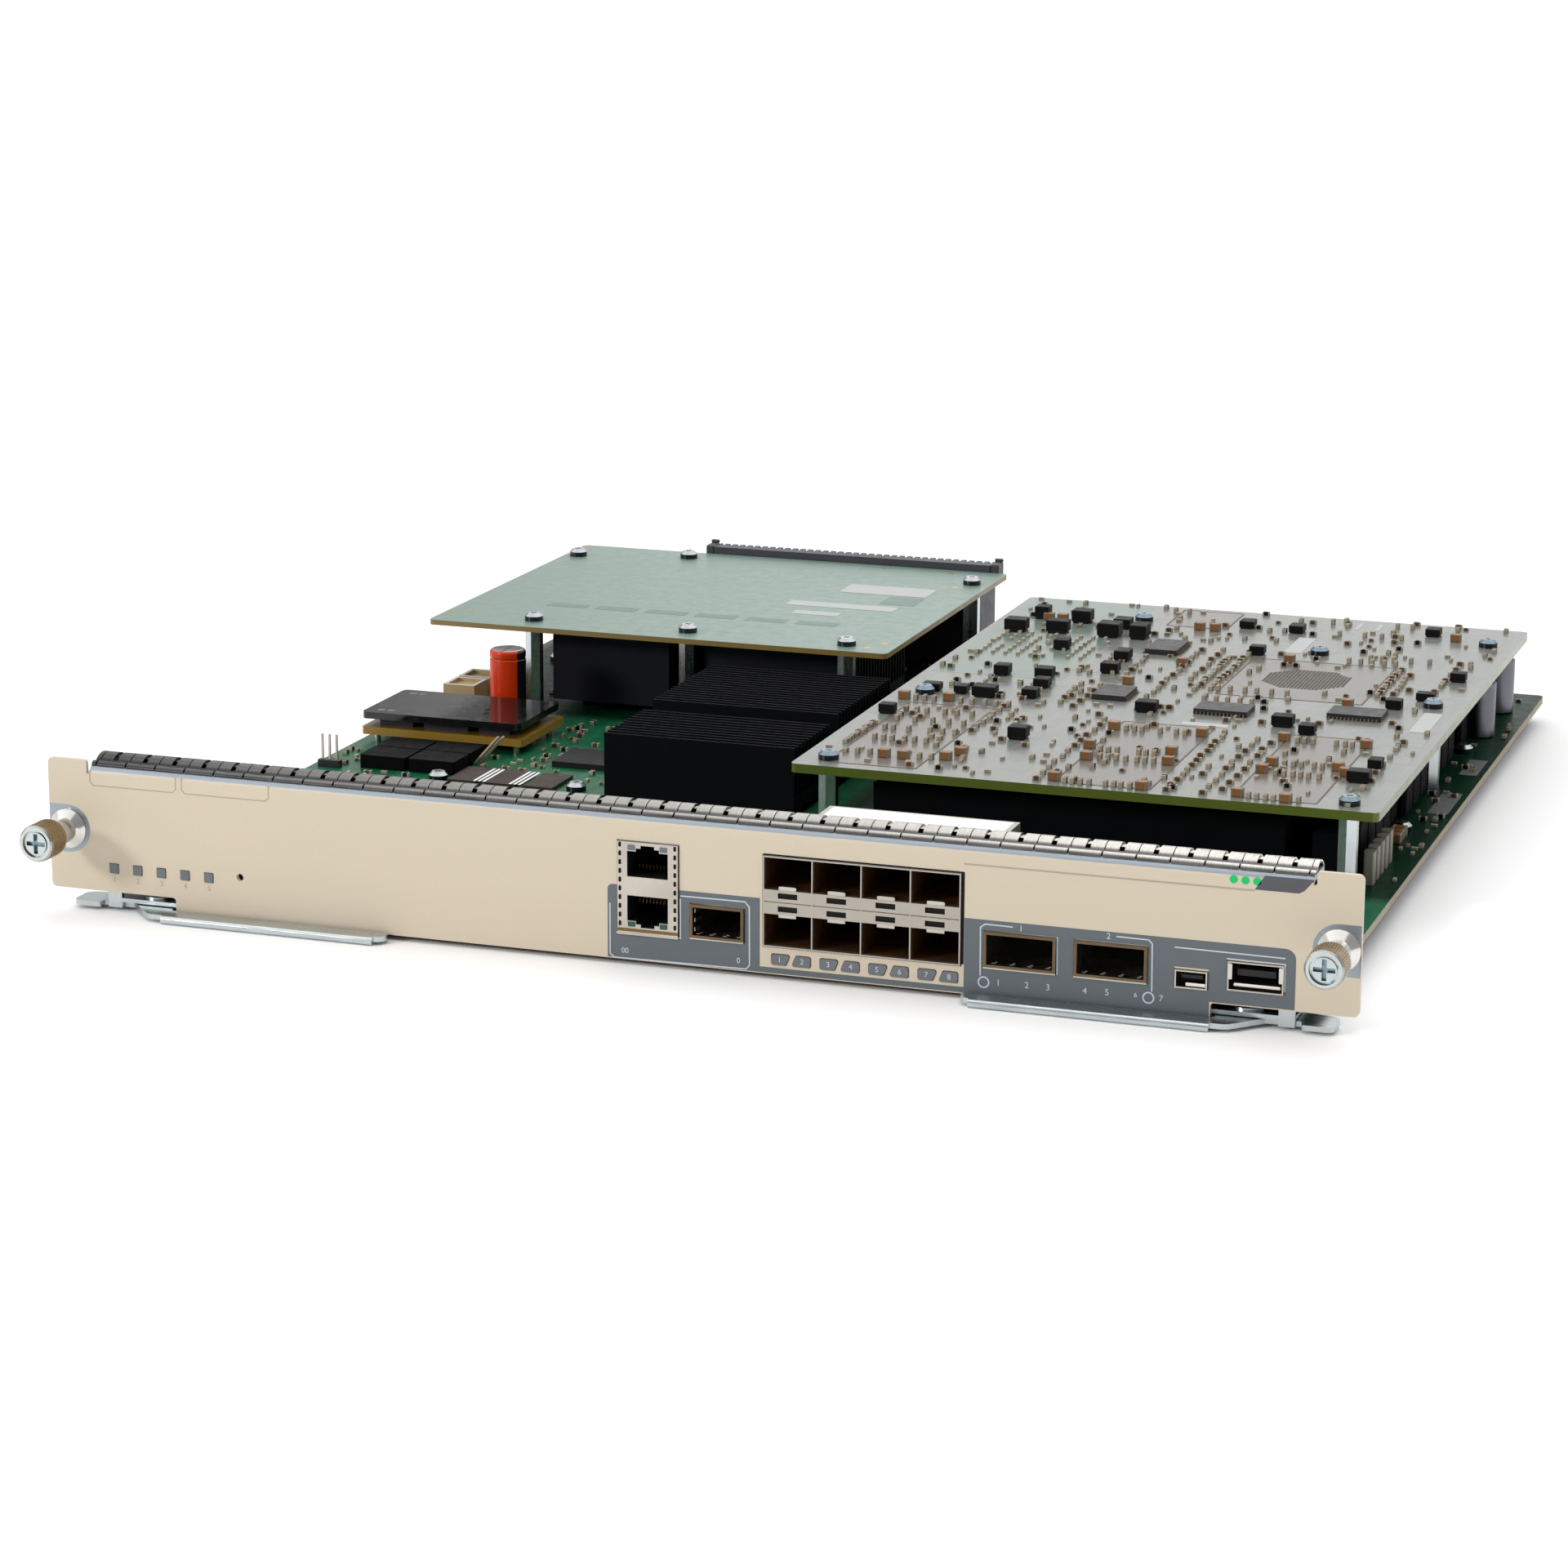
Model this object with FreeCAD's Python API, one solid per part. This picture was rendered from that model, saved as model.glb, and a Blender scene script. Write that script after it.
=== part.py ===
import FreeCAD, Part
import math
import os

V = FreeCAD.Vector

# Face panel (millimetres)
PANEL_WIDTH = 391.2
PANEL_THICKNESS = 1.5
PANEL_FACE_HEIGHT = 42.0
EAR_WIDTH = 12.6
EAR_RISE = 1.8
EAR_CORNER = 1.6
EAR_GAP = 1.0
NOTCH_WIDTH = 40.6
NOTCH_HEIGHT = 4.5
NOTCH_CORNER = 1.0
TOP_FLANGE_DEPTH = 14.0
TOP_BEND_RADIUS = 2.2
BOTTOM_FLANGE_DEPTH = 9.0
BOTTOM_FLANGE_INSET = 6.0
PORT_CLEARANCE = 0.3
CUT_REACH = 1.0

# Spring-finger gasket on the top flange
GASKET_PITCH = 9.5
GASKET_RISE = 2.7
GASKET_START = 1.5
GASKET_DEPTH = 12.3
GASKET_SHEET = 0.5
GASKET_BEAD_DEPTH = 2.8
GASKET_BEAD_RISE = 1.3
GASKET_ARCH_START = 2.0
GASKET_SPINE = 1.2
GASKET_FRONT_SLIT = 0.5
GASKET_BACK_SLIT = 1.5
GASKET_FINE_SLIT = 0.3

# Ejector levers
LEVER_THICKNESS = 1.5
LEVER_LIP_DROP = 1.0
LEVER_LIP_DEPTH = 2.6
LIP_TOP_ROUND = 1.2
LIP_LOW_ROUND = 1.1
LIP_BACK_ROUND = 0.6
LEVER_CLEARANCE = 0.3
LEVER_PIVOT_INSET = 31.6
LEVER_PIVOT_DEPTH = 7.0
LEVER_EYE_RADIUS = 6.0
LEVER_NECK = 1.6
EYE_CORNER = 5.0
HANDLE_LENGTH = 78.0
HANDLE_STANDOUT = 7.8
HANDLE_GAP = 1.0
HANDLE_CORNER = 3.0
GRIP_CORNER = 2.0
ELBOW_CORNER = 4.0
ARM_SETBACK = 0.5
ARM_CORNER = 1.0
CAM_REACH = 25.0
CAM_WIDTH = 7.0
CAM_CORNER = 3.0
CAM_NOSE_WIDTH = 9.0
NOSE_CORNER = 2.5
NOSE_STEP_CORNER = 0.8
BRACKET_THICKNESS = 1.2
BRACKET_OVERLAP = 8.0
BRACKET_REACH = 10.0
BRACKET_GAP = 1.0
BRACKET_CORNER = 4.0
TAB_WIDTH = 4.5
TAB_GAP = 2.0
PIN_RADIUS = 2.5
PIN_HEAD_RADIUS = 4.2
PIN_HEAD_HEIGHT = 0.7
RUNNING_CLEARANCE = 0.05
RIVET_RADIUS = 1.6
RIVET_HEAD_RADIUS = 2.6
RIVET_SETBACK = 6.0

# Captive panel screws
SCREW_INSET = 6.0
SCREW_HEIGHT = 18.2
SCREW_STANDOUT = 20.0
KNOB_RADIUS = 5.4
KNOB_LENGTH = 9.0
KNOB_WALL = 1.4
KNOB_CAP = 2.2
KNOB_STOP_GAP = 0.4
SCREW_TRAVEL = 5.6
SCREW_EDGE = 0.5
FACE_SINK = 0.3
RING_INNER_RADIUS = 3.4
RING_OUTER_RADIUS = 4.1
RING_DEPTH = 0.8
SHANK_RADIUS = 1.95
GROOVE_RADIUS = 1.7
THREAD_RADIUS = 2.0
THREAD_LENGTH = 12.0
FERRULE_FLANGE_RADIUS = 5.9
FERRULE_FLANGE = 0.6
FERRULE_CONE = 1.8
FERRULE_NECK_RADIUS = 3.7
FERRULE_WALL = 0.8
FERRULE_FLARE = 0.6
CLIP_THICKNESS = 0.6
CLIP_RADIUS = 3.4
SPRING_WIRE_RADIUS = 0.3
SPRING_TURNS = 7
RECESS_DEPTH = 1.6
RECESS_WIDTH = 1.3
RECESS_ARM_SHARE = 0.55

# Carrier tray and main board
TRAY_THICKNESS = 1.2
TRAY_INSET = 5.0
TRAY_NOTCH_DEPTH = 36.0
TRAY_CORNER = 3.0
SPACER_HEIGHT = 3.8
SPACER_RADIUS = 3.5
BOARD_THICKNESS = 2.4
BOARD_DEPTH = 392.0
BOARD_SETBACK = 1.5
BOARD_CORNER = 2.0
CONNECTOR_OVERHANG = 8.0
FASTENER_RADIUS = 1.5
FASTENER_HEAD_RADIUS = 3.2
FASTENER_HEAD_HEIGHT = 2.8
FASTENER_DOME_SHARE = 0.35
FASTENER_CLEARANCE = 0.1

# Raised boards on posts
RIGHT_POST_HEIGHT = 23.4
RIGHT_BOARD_THICKNESS = 2.8
RIGHT_BOARD_MARGIN = 15.2
RIGHT_BOARD_WIDTH = PANEL_WIDTH / 2 - RIGHT_BOARD_MARGIN
RIGHT_BOARD_DEPTH = 271.0
RIGHT_BOARD_INSET = 3.9
RIGHT_BOARD_SETBACK = 17.4
LEFT_POST_HEIGHT = 28.7
LEFT_BOARD_THICKNESS = 1.8
LEFT_BOARD_MARGIN = 28.6
LEFT_BOARD_WIDTH = PANEL_WIDTH / 2 - LEFT_BOARD_MARGIN
LEFT_BOARD_DEPTH = 148.4
LEFT_BOARD_INSET = 1.0
POST_RADIUS = 3.1
POST_THREAD_DEPTH = 8.0
POST_SCREW_REACH = 6.0

# Fasteners of the main board: (distance from a side, distance from a line across the module)
PANEL_LEFT_FASTENERS = [(18.0, 70.0), (123.0, 78.0)]
PANEL_RIGHT_FASTENERS = [(12.0, 60.0)]
PANEL_MIDDLE_FASTENERS = [(15.3, 78.0)]
SINK_FASTENERS = [(62.25, 98.1), (14.75, 96.6)]
REAR_LEFT_FASTENERS = [(16.0, 65.0), (140.0, 43.0)]
RIGHT_SIDE_FASTENERS = [(12.0, 83.4), (96.0, 151.4)]
RIGHT_REAR_FASTENERS = [(12.0, 77.6)]

# Posts of the raised boards: (distance from the board's side edge, distance from its front or rear edge)
RIGHT_POSTS_LEFT_FRONT = [(9.3, 9.4), (10.3, 106.4)]
RIGHT_POSTS_RIGHT_FRONT = [(10.1, 7.4), (10.1, 142.4)]
RIGHT_POSTS_REAR = [(9.1, 29.6), (61.1, 61.6), (131.1, 27.6)]
LEFT_POSTS_FRONT = [(35.0, 11.4), (92.0, 11.4)]
LEFT_POSTS_REAR = [(5.5, 21.0), (46.0, 11.0)]
LEFT_POSTS_RIGHT_FRONT = [(17.0, 9.4)]
LEFT_POSTS_RIGHT_REAR = [(7.0, 23.0)]

# Ports, measured along the panel from its right edge
PORT_FLOOR = 1.0
CAGE_WALL = 0.4
CAGE_STANDOUT = 0.6
FOOT_DEPTH = 3.0
FOOT_FRONT_GAP = 1.0
FOOT_BACK_GAP = 4.0
USB_EDGE = 21.0
USB_WIDTH = 14.6
USB_HEIGHT = 7.4
USB_DEPTH = 16.0
USB_RISE = 0.7
MINI_GAP = 6.3
MINI_WIDTH = 8.2
MINI_HEIGHT = 4.3
MINI_DEPTH = 9.0
TONGUE_ROOT = 3.0
TONGUE_SETBACK = 1.0
TONGUE_WIDTH_SHARE = 0.72
TONGUE_LEVEL_SHARE = 0.62
TONGUE_HEIGHT_SHARE = 0.24
WIDE_GAP = 8.55
WIDE_PITCH = 25.6
WIDE_WIDTH = 19.6
WIDE_HEIGHT = 9.7
WIDE_DEPTH = 62.0
WIDE_HOST_HEIGHT = 7.0
STACK_GAP = 7.05
STACK_PITCH = 14.25
STACK_COLUMNS = 4
STACK_OPENING = 9.2
STACK_SHELF = 7.0
STACK_DEPTH = 59.0
STACK_CONNECTOR_DEPTH = 10.0
HOST_SIDE_GAP = 1.0
HOST_SLOT_DEPTH = 4.0
HOST_SLOT_HEIGHT = 1.2
HOST_SLOT_SHARE = 0.8
LATCH_WIDTH = 5.7
LATCH_DEPTH = 3.0
LATCH_HEIGHT = 1.6
LATCH_STRIP = 0.8
SHELF_SEAM = 0.3
SHELF_SEAM_DEPTH = 0.4
MANAGEMENT_GAP = 6.1
MANAGEMENT_WIDTH = 15.1
MANAGEMENT_HEIGHT = 9.3
MANAGEMENT_HOST_HEIGHT = 6.5
JACK_GAP = 4.0
JACK_WIDTH = 18.1
JACK_HEIGHT = 26.2
JACK_DEPTH = 26.0
JACK_PORT_WIDTH = 12.2
JACK_PORT_HEIGHT = 7.4
JACK_PORT_DEPTH = 20.0
JACK_STEP_WIDTH = 7.0
JACK_STEP_HEIGHT = 0.9
JACK_KEY_WIDTH = 4.1
JACK_KEY_HEIGHT = 1.8
JACK_RIM = 0.5
JACK_SILL = 1.4

# Lights and reset switch, measured from the panel's left edge
STATUS_EDGE = 20.7
STATUS_PITCH = 7.7
STATUS_COUNT = 5
STATUS_SIZE = 2.8
STATUS_CORNER = 0.4
STATUS_HEIGHT = 7.2
STATUS_DEPTH = 7.0
LIGHT_PROUD = 0.3
PORT_LIGHT_WIDTH = 4.9
PORT_LIGHT_HEIGHT = 3.1
PORT_LIGHT_SLANT = 1.4
PORT_LIGHT_SPLIT = 1.7
PORT_LIGHT_SHIFT = 1.1
PORT_LIGHT_CORNER = 0.7
PORT_LIGHT_DROP = 0.1
RESET_EDGE = 61.6
RESET_HEIGHT = 8.2
RESET_HOLE_RADIUS = 1.1
RESET_PLUNGER_RADIUS = 1.4
RESET_TRAVEL = 0.4
RESET_BODY = 6.0
RESET_GAP = 1.5

# Heat sinks
SINK_FIN = 1.0
SINK_PITCH = 3.2
SINK_BASE = 4.0
SINK_CHIP = 2.5
SINK_CHIP_INSET = 8.0
SINK_WIDTH = 63.5
SINK_X = -42.0
FRONT_SINK_DEPTH = 35.0
FRONT_SINK_AT = 109.6
MIDDLE_SINK_DEPTH = 56.0
MIDDLE_SINK_GAP = 8.5
SINK_HEIGHT = 23.1
MIDDLE_SINK_RISE = 1.5
REAR_SINK_HEIGHT = 26.0
REAR_SINK_SETBACK = 14.0
REAR_SINK_DEPTH = 62.0
REAR_LEFT_SINK_EDGE = 41.0
REAR_LEFT_SINK_WIDTH = 43.0
REAR_RIGHT_SINK_EDGE = 97.0
REAR_RIGHT_SINK_WIDTH = 53.0
RIGHT_SINK_HEIGHT = 19.0
RIGHT_SINK_WIDTH = 128.0
RIGHT_SINK_DEPTH = 112.0
RIGHT_SINK_SETBACK = 14.0
RIGHT_SINK_SHARE = 0.424

# Power module and other parts on the main board
MODULE_WIDTH = 58.4
MODULE_DEPTH = 36.8
MODULE_EDGE = 2.5
MODULE_AT = 60.0
MODULE_PIN = 3.1
MODULE_PIN_RADIUS = 1.0
MODULE_PIN_INSET = 4.0
MODULE_BOARD = 2.6
MODULE_BOARD_CORNER = 1.0
MODULE_SPACE = 2.8
MODULE_PLATE = 2.3
MODULE_PLATE_INSET = 1.0
MODULE_PLATE_CORNER = 2.0
MODULE_CORES = [(5.0, 12.0), (21.0, 16.0), (41.0, 11.0)]
CORE_FRONT_GAP = 4.0
CORE_BACK_GAP = 6.0
BULK_RADIUS = 6.2
BULK_HEIGHT = 26.0
BULK_GAP = 1.5
BULK_SHARE = 0.595
BULK_EDGE = 1.2
BULK_GROOVE = 0.3
BULK_GROOVE_DROP = 3.0
HEADER_COUNT = 2
HEADER_EDGE = 10.0
HEADER_GAP = 9.0
HEADER_SPACING = 1.5
HEADER_WIDTH = 11.5
HEADER_DEPTH = 12.0
HEADER_HEIGHT = 11.5
HEADER_WALL = 1.2
CONVERTER_TO_SINK = 92.85
CONVERTER_AHEAD = 32.3
CONVERTER_SIZE = 16.3
CONVERTER_DEPTH = 12.6
CONVERTER_HEIGHT = 4.5
CONVERTER_PITCH = 17.3
CONVERTER_ROW_GAP = 0.8
CONVERTER_CORNER = 0.8
MEMORY_COUNT = 3
MEMORY_TO_SINK = 52.75
MEMORY_AHEAD = 41.5
MEMORY_WIDTH = 10.2
MEMORY_DEPTH = 18.4
MEMORY_HEIGHT = 1.3
MEMORY_PITCH = 13.2
BRIDGE_SIZE = 20.0
BRIDGE_HEIGHT = 2.0
BRIDGE_CORNER = 0.6
PIN_COUNT = 3
PIN_EDGE = 4.3
PIN_AHEAD = 34.6
PIN_PITCH = 2.54
PIN_WIDTH = 0.64
PIN_HEIGHT = 11.0
PIN_BASE = 2.5
CHOKE_COUNT = 5
CHOKE_EDGE = 11.0
CHOKE_START = 16.0
CHOKE_PITCH = 6.6
CHOKE_WIDTH = 3.2
CHOKE_DEPTH = 4.2
CHOKE_HEIGHT = 10.0
CHOKE_CORNER = 0.6
CAN_EDGE = 11.0
CAN_SETBACKS = [52.0, 13.0]
CAN_RADIUS = 5.0
CAN_HEIGHT = 19.0
CAN_ROUND = 0.6

# Backplane connectors and the connectors between the boards
TALL_LEFT_GAP = 52.0
TALL_RIGHT_GAP = 7.0
TALL_DEPTH = 18.0
TALL_RISE = 2.6
WAFER_PITCH = 3.0
WAFER_DEPTH = 3.0
WAFER_SHARE = 0.4
WAFER_FLOOR = 2.0
LOW_LEFT_GAP = 18.0
LOW_RIGHT_GAP = 14.0
LOW_DEPTH = 16.0
LOW_HEIGHT = 20.0
LOW_WAFER_PITCH = 4.0
LOW_WAFER_DEPTH = 4.0
LINK_SETBACK = 44.0
LINK_DEPTH = 9.0
LEFT_LINK_GAP = 60.0
RIGHT_LINK_START = 24.0
RIGHT_LINK_WIDTH = 54.0
RIGHT_LINK_SPACE = 18.0
RIGHT_LINK_END = 22.0

# Chips on the right raised board: middle from its right and front edges, width and length
RIGHT_CHIPS = [(112.0, 199.0, 11.0, 18.0), (111.0, 124.0, 11.0, 16.0), (72.0, 113.0, 17.5, 12.0),
               (30.5, 121.0, 17.5, 12.0)]
RIGHT_CHIP_HEIGHT = 1.8

# Planes worked out from the driving dimensions; heights count from the lever lips
PANEL_HALF = PANEL_WIDTH / 2
LEVER_BOTTOM = LEVER_LIP_DROP
LEVER_TOP = LEVER_BOTTOM + LEVER_THICKNESS
TRAY_TOP = LEVER_TOP + LEVER_CLEARANCE
TRAY_BOTTOM = TRAY_TOP - TRAY_THICKNESS
PANEL_BOTTOM = TRAY_BOTTOM
EAR_BOTTOM = PANEL_BOTTOM + NOTCH_HEIGHT
FACE_TOP = PANEL_BOTTOM + PANEL_FACE_HEIGHT
EAR_TOP = FACE_TOP + EAR_RISE
BOARD_BOTTOM = TRAY_TOP + SPACER_HEIGHT
BOARD_TOP = BOARD_BOTTOM + BOARD_THICKNESS
PORT_BOTTOM = BOARD_TOP + PORT_FLOOR
SCREW_Z = EAR_BOTTOM + SCREW_HEIGHT
BRACKET_TOP = TRAY_TOP + BRACKET_THICKNESS

# Depths behind the panel's front face; the box's middle is the frame's origin
BOARD_FRONT = PANEL_THICKNESS + BOARD_SETBACK
BOARD_BACK = BOARD_FRONT + BOARD_DEPTH
PANEL_Y = (SCREW_STANDOUT - BOARD_BACK - CONNECTOR_OVERHANG) / 2
BOARD_HALF = PANEL_HALF - EAR_WIDTH
TRAY_HALF = BOARD_HALF - TRAY_INSET
RIGHT_BOARD_BACK = BOARD_BACK - RIGHT_BOARD_SETBACK
RIGHT_BOARD_FRONT = RIGHT_BOARD_BACK - RIGHT_BOARD_DEPTH
LEFT_BOARD_FRONT = BOARD_BACK - LEFT_BOARD_DEPTH
FRONT_SINK_DEPTH_AT = LEFT_BOARD_FRONT - FRONT_SINK_AT
MODULE_FRONT = LEFT_BOARD_FRONT - MODULE_AT
SINK_LEFT = SINK_X - SINK_WIDTH / 2
RIGHT_BOARD_BOTTOM = BOARD_TOP + RIGHT_POST_HEIGHT
LEFT_BOARD_BOTTOM = BOARD_TOP + LEFT_POST_HEIGHT
LEFT_BOARD_TOP = LEFT_BOARD_BOTTOM + LEFT_BOARD_THICKNESS

# Places of ports along the panel
USB_X = PANEL_HALF - USB_EDGE - USB_WIDTH / 2
MINI_X = USB_X - USB_WIDTH / 2 - MINI_GAP - MINI_WIDTH / 2
WIDE_RIGHT_X = MINI_X - MINI_WIDTH / 2 - WIDE_GAP - WIDE_WIDTH / 2
WIDE_LEFT_X = WIDE_RIGHT_X - WIDE_PITCH
STACK_WIDTH = STACK_COLUMNS * STACK_PITCH + CAGE_WALL
STACK_X = WIDE_LEFT_X - WIDE_WIDTH / 2 - STACK_GAP - STACK_WIDTH / 2
STACK_HEIGHT = 2 * STACK_OPENING + STACK_SHELF
MANAGEMENT_X = STACK_X - STACK_WIDTH / 2 - MANAGEMENT_GAP - MANAGEMENT_WIDTH / 2
JACK_X = MANAGEMENT_X - MANAGEMENT_WIDTH / 2 - JACK_GAP - JACK_WIDTH / 2
STATUS_X = [-PANEL_HALF + STATUS_EDGE + STATUS_PITCH * i for i in range(STATUS_COUNT)]
RESET_X = -PANEL_HALF + RESET_EDGE
SCREW_X = PANEL_HALF - SCREW_INSET
PIVOT_X = PANEL_HALF - LEVER_PIVOT_INSET


def deep(depth):
    """Y of a place this far behind the panel's front face."""
    return PANEL_Y + depth


def span(middle, width):
    return (middle - width / 2, middle + width / 2)


def box(x, y, z):
    return Part.makeBox(x[1] - x[0], y[1] - y[0], z[1] - z[0], V(x[0], y[0], z[0]))


def rod(base, axis, radius, length):
    return Part.makeCylinder(radius, length, base, axis)


def fuse(shapes):
    return shapes[0].multiFuse(shapes[1:]).removeSplitter()


def cut(shape, tools):
    return shape.cut(Part.makeCompound(tools))


def outline(corners, place):
    """Closed wire through corners (u, v, radius), each rounded by its radius."""
    starts = []
    ends = []
    middles = []
    count = len(corners)
    for i, (u, v, radius) in enumerate(corners):
        here = V(u, v, 0)
        before = (V(*corners[i - 1][:2], 0) - here).normalize()
        after = (V(*corners[(i + 1) % count][:2], 0) - here).normalize()
        half = before.getAngle(after) / 2
        reach = radius / math.tan(half)
        inward = (before + after).normalize() if radius else V(0, 0, 0)
        starts.append(here + before * reach)
        ends.append(here + after * reach)
        middles.append(here + inward * (radius / math.sin(half) - radius))
    edges = []
    for i in range(count):
        if corners[i][2]:
            edges.append(Part.Arc(place(starts[i]), place(middles[i]), place(ends[i])).toShape())
        nearest = starts[(i + 1) % count]
        if ends[i].distanceToPoint(nearest) > 1e-6:
            edges.append(Part.LineSegment(place(ends[i]), place(nearest)).toShape())
    return Part.Wire(edges)


def prism_x(corners, x):
    wire = outline(corners, lambda p: V(x[0], p.x, p.y))
    return Part.Face(wire).extrude(V(x[1] - x[0], 0, 0))


def prism_y(corners, y):
    wire = outline(corners, lambda p: V(p.x, y[0], p.y))
    return Part.Face(wire).extrude(V(0, y[1] - y[0], 0))


def prism_z(corners, z):
    wire = outline(corners, lambda p: V(p.x, p.y, z[0]))
    return Part.Face(wire).extrude(V(0, 0, z[1] - z[0]))


def rounded(u, v, radius):
    return [(u[0], v[0], radius), (u[1], v[0], radius), (u[1], v[1], radius), (u[0], v[1], radius)]


def mirrored(shape):
    return shape.mirror(V(0, 0, 0), V(1, 0, 0))


def turned(profile, x, z):
    """Solid of revolution about the Y line through (x, z); profile is (radius, y) corners."""
    points = [V(x + radius, y, z) for radius, y in profile]
    wire = Part.makePolygon(points + points[:1])
    return Part.Face(wire).revolve(V(x, 0, z), V(0, 1, 0), 360)


def right_board_x():
    right = BOARD_HALF - RIGHT_BOARD_INSET
    return (right - RIGHT_BOARD_WIDTH, right)


def left_board_x():
    left = -BOARD_HALF + LEFT_BOARD_INSET
    return (left, left + LEFT_BOARD_WIDTH)


# Places (x, y) of a table: side is +1 to count right from x or -1 left, way +1 back from depth or -1 forward
def placed(table, x, side, depth, way):
    return [(x + side * across, deep(depth + way * along)) for across, along in table]


def board_places():
    places = placed(PANEL_LEFT_FASTENERS, -BOARD_HALF, 1, 0, 1)
    places += placed(PANEL_MIDDLE_FASTENERS, right_board_x()[0], 1, 0, 1)
    places += placed(PANEL_RIGHT_FASTENERS, BOARD_HALF, -1, 0, 1)
    places += placed(SINK_FASTENERS, SINK_LEFT, -1, LEFT_BOARD_FRONT, -1)
    places += placed(REAR_LEFT_FASTENERS, -BOARD_HALF, 1, BOARD_BACK, -1)
    places += placed(RIGHT_SIDE_FASTENERS, BOARD_HALF, -1, RIGHT_BOARD_FRONT, 1)
    places += placed(RIGHT_REAR_FASTENERS, BOARD_HALF, -1, RIGHT_BOARD_BACK, -1)
    return places


def right_post_places():
    left, right = right_board_x()
    places = placed(RIGHT_POSTS_LEFT_FRONT, left, 1, RIGHT_BOARD_FRONT, 1)
    places += placed(RIGHT_POSTS_RIGHT_FRONT, right, -1, RIGHT_BOARD_FRONT, 1)
    places += placed(RIGHT_POSTS_REAR, right, -1, RIGHT_BOARD_BACK, -1)
    return places


def left_post_places():
    left, right = left_board_x()
    places = placed(LEFT_POSTS_FRONT, left, 1, LEFT_BOARD_FRONT, 1)
    places += placed(LEFT_POSTS_RIGHT_FRONT, right, -1, LEFT_BOARD_FRONT, 1)
    places += placed(LEFT_POSTS_REAR, left, 1, BOARD_BACK, -1)
    places += placed(LEFT_POSTS_RIGHT_REAR, right, -1, BOARD_BACK, -1)
    return places


BOARD_PLACES = board_places()
RIGHT_PLACES = right_post_places()
LEFT_PLACES = left_post_places()


def bores(places, radius, z):
    return [rod(V(x, y, z[0]), V(0, 0, 1), radius, z[1] - z[0]) for x, y in places]


def port_frames():
    """Outer boxes of the cages and shells that pass through the panel: (x span, z span)."""
    low = PORT_BOTTOM - CAGE_WALL
    frames = [(span(JACK_X, JACK_WIDTH), (BOARD_TOP, PORT_BOTTOM + JACK_HEIGHT))]
    for x, width, height, rise in [(MANAGEMENT_X, MANAGEMENT_WIDTH, MANAGEMENT_HEIGHT, 0),
                                   (WIDE_LEFT_X, WIDE_WIDTH, WIDE_HEIGHT, 0),
                                   (WIDE_RIGHT_X, WIDE_WIDTH, WIDE_HEIGHT, 0),
                                   (MINI_X, MINI_WIDTH, MINI_HEIGHT, 0),
                                   (USB_X, USB_WIDTH, USB_HEIGHT, USB_RISE)]:
        z = (low + rise, PORT_BOTTOM + rise + height + CAGE_WALL)
        frames.append((span(x, width + 2 * CAGE_WALL), z))
    frames.append((span(STACK_X, STACK_WIDTH), (low, PORT_BOTTOM + STACK_HEIGHT + CAGE_WALL)))
    return frames


# Slanted pairs of port lights under the stack: middle of each pair, and which side of it
def port_light_places():
    left = STACK_X - STACK_WIDTH / 2 + STACK_PITCH / 2 + PORT_LIGHT_SHIFT
    places = []
    for column in range(STACK_COLUMNS):
        for side in (-1, 1):
            places.append((left + STACK_PITCH * column, side))
    return places


# One light's outline: an upright outer end and an inner end that leans with the gap of the pair
def port_light_outline(place, grow):
    x, side = place
    height = PORT_LIGHT_HEIGHT + 2 * grow
    low, high = span(EAR_BOTTOM - PORT_LIGHT_DROP, height)
    inner = x + side * (PORT_LIGHT_SPLIT / 2 - grow)
    outer = x + side * (PORT_LIGHT_SPLIT / 2 + PORT_LIGHT_WIDTH + grow)
    lean = PORT_LIGHT_SLANT / 2
    ends = [(inner - lean, low), (outer, low), (outer, high), (inner + lean, high)]
    return [(u, v, PORT_LIGHT_CORNER) for u, v in ends]


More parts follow.
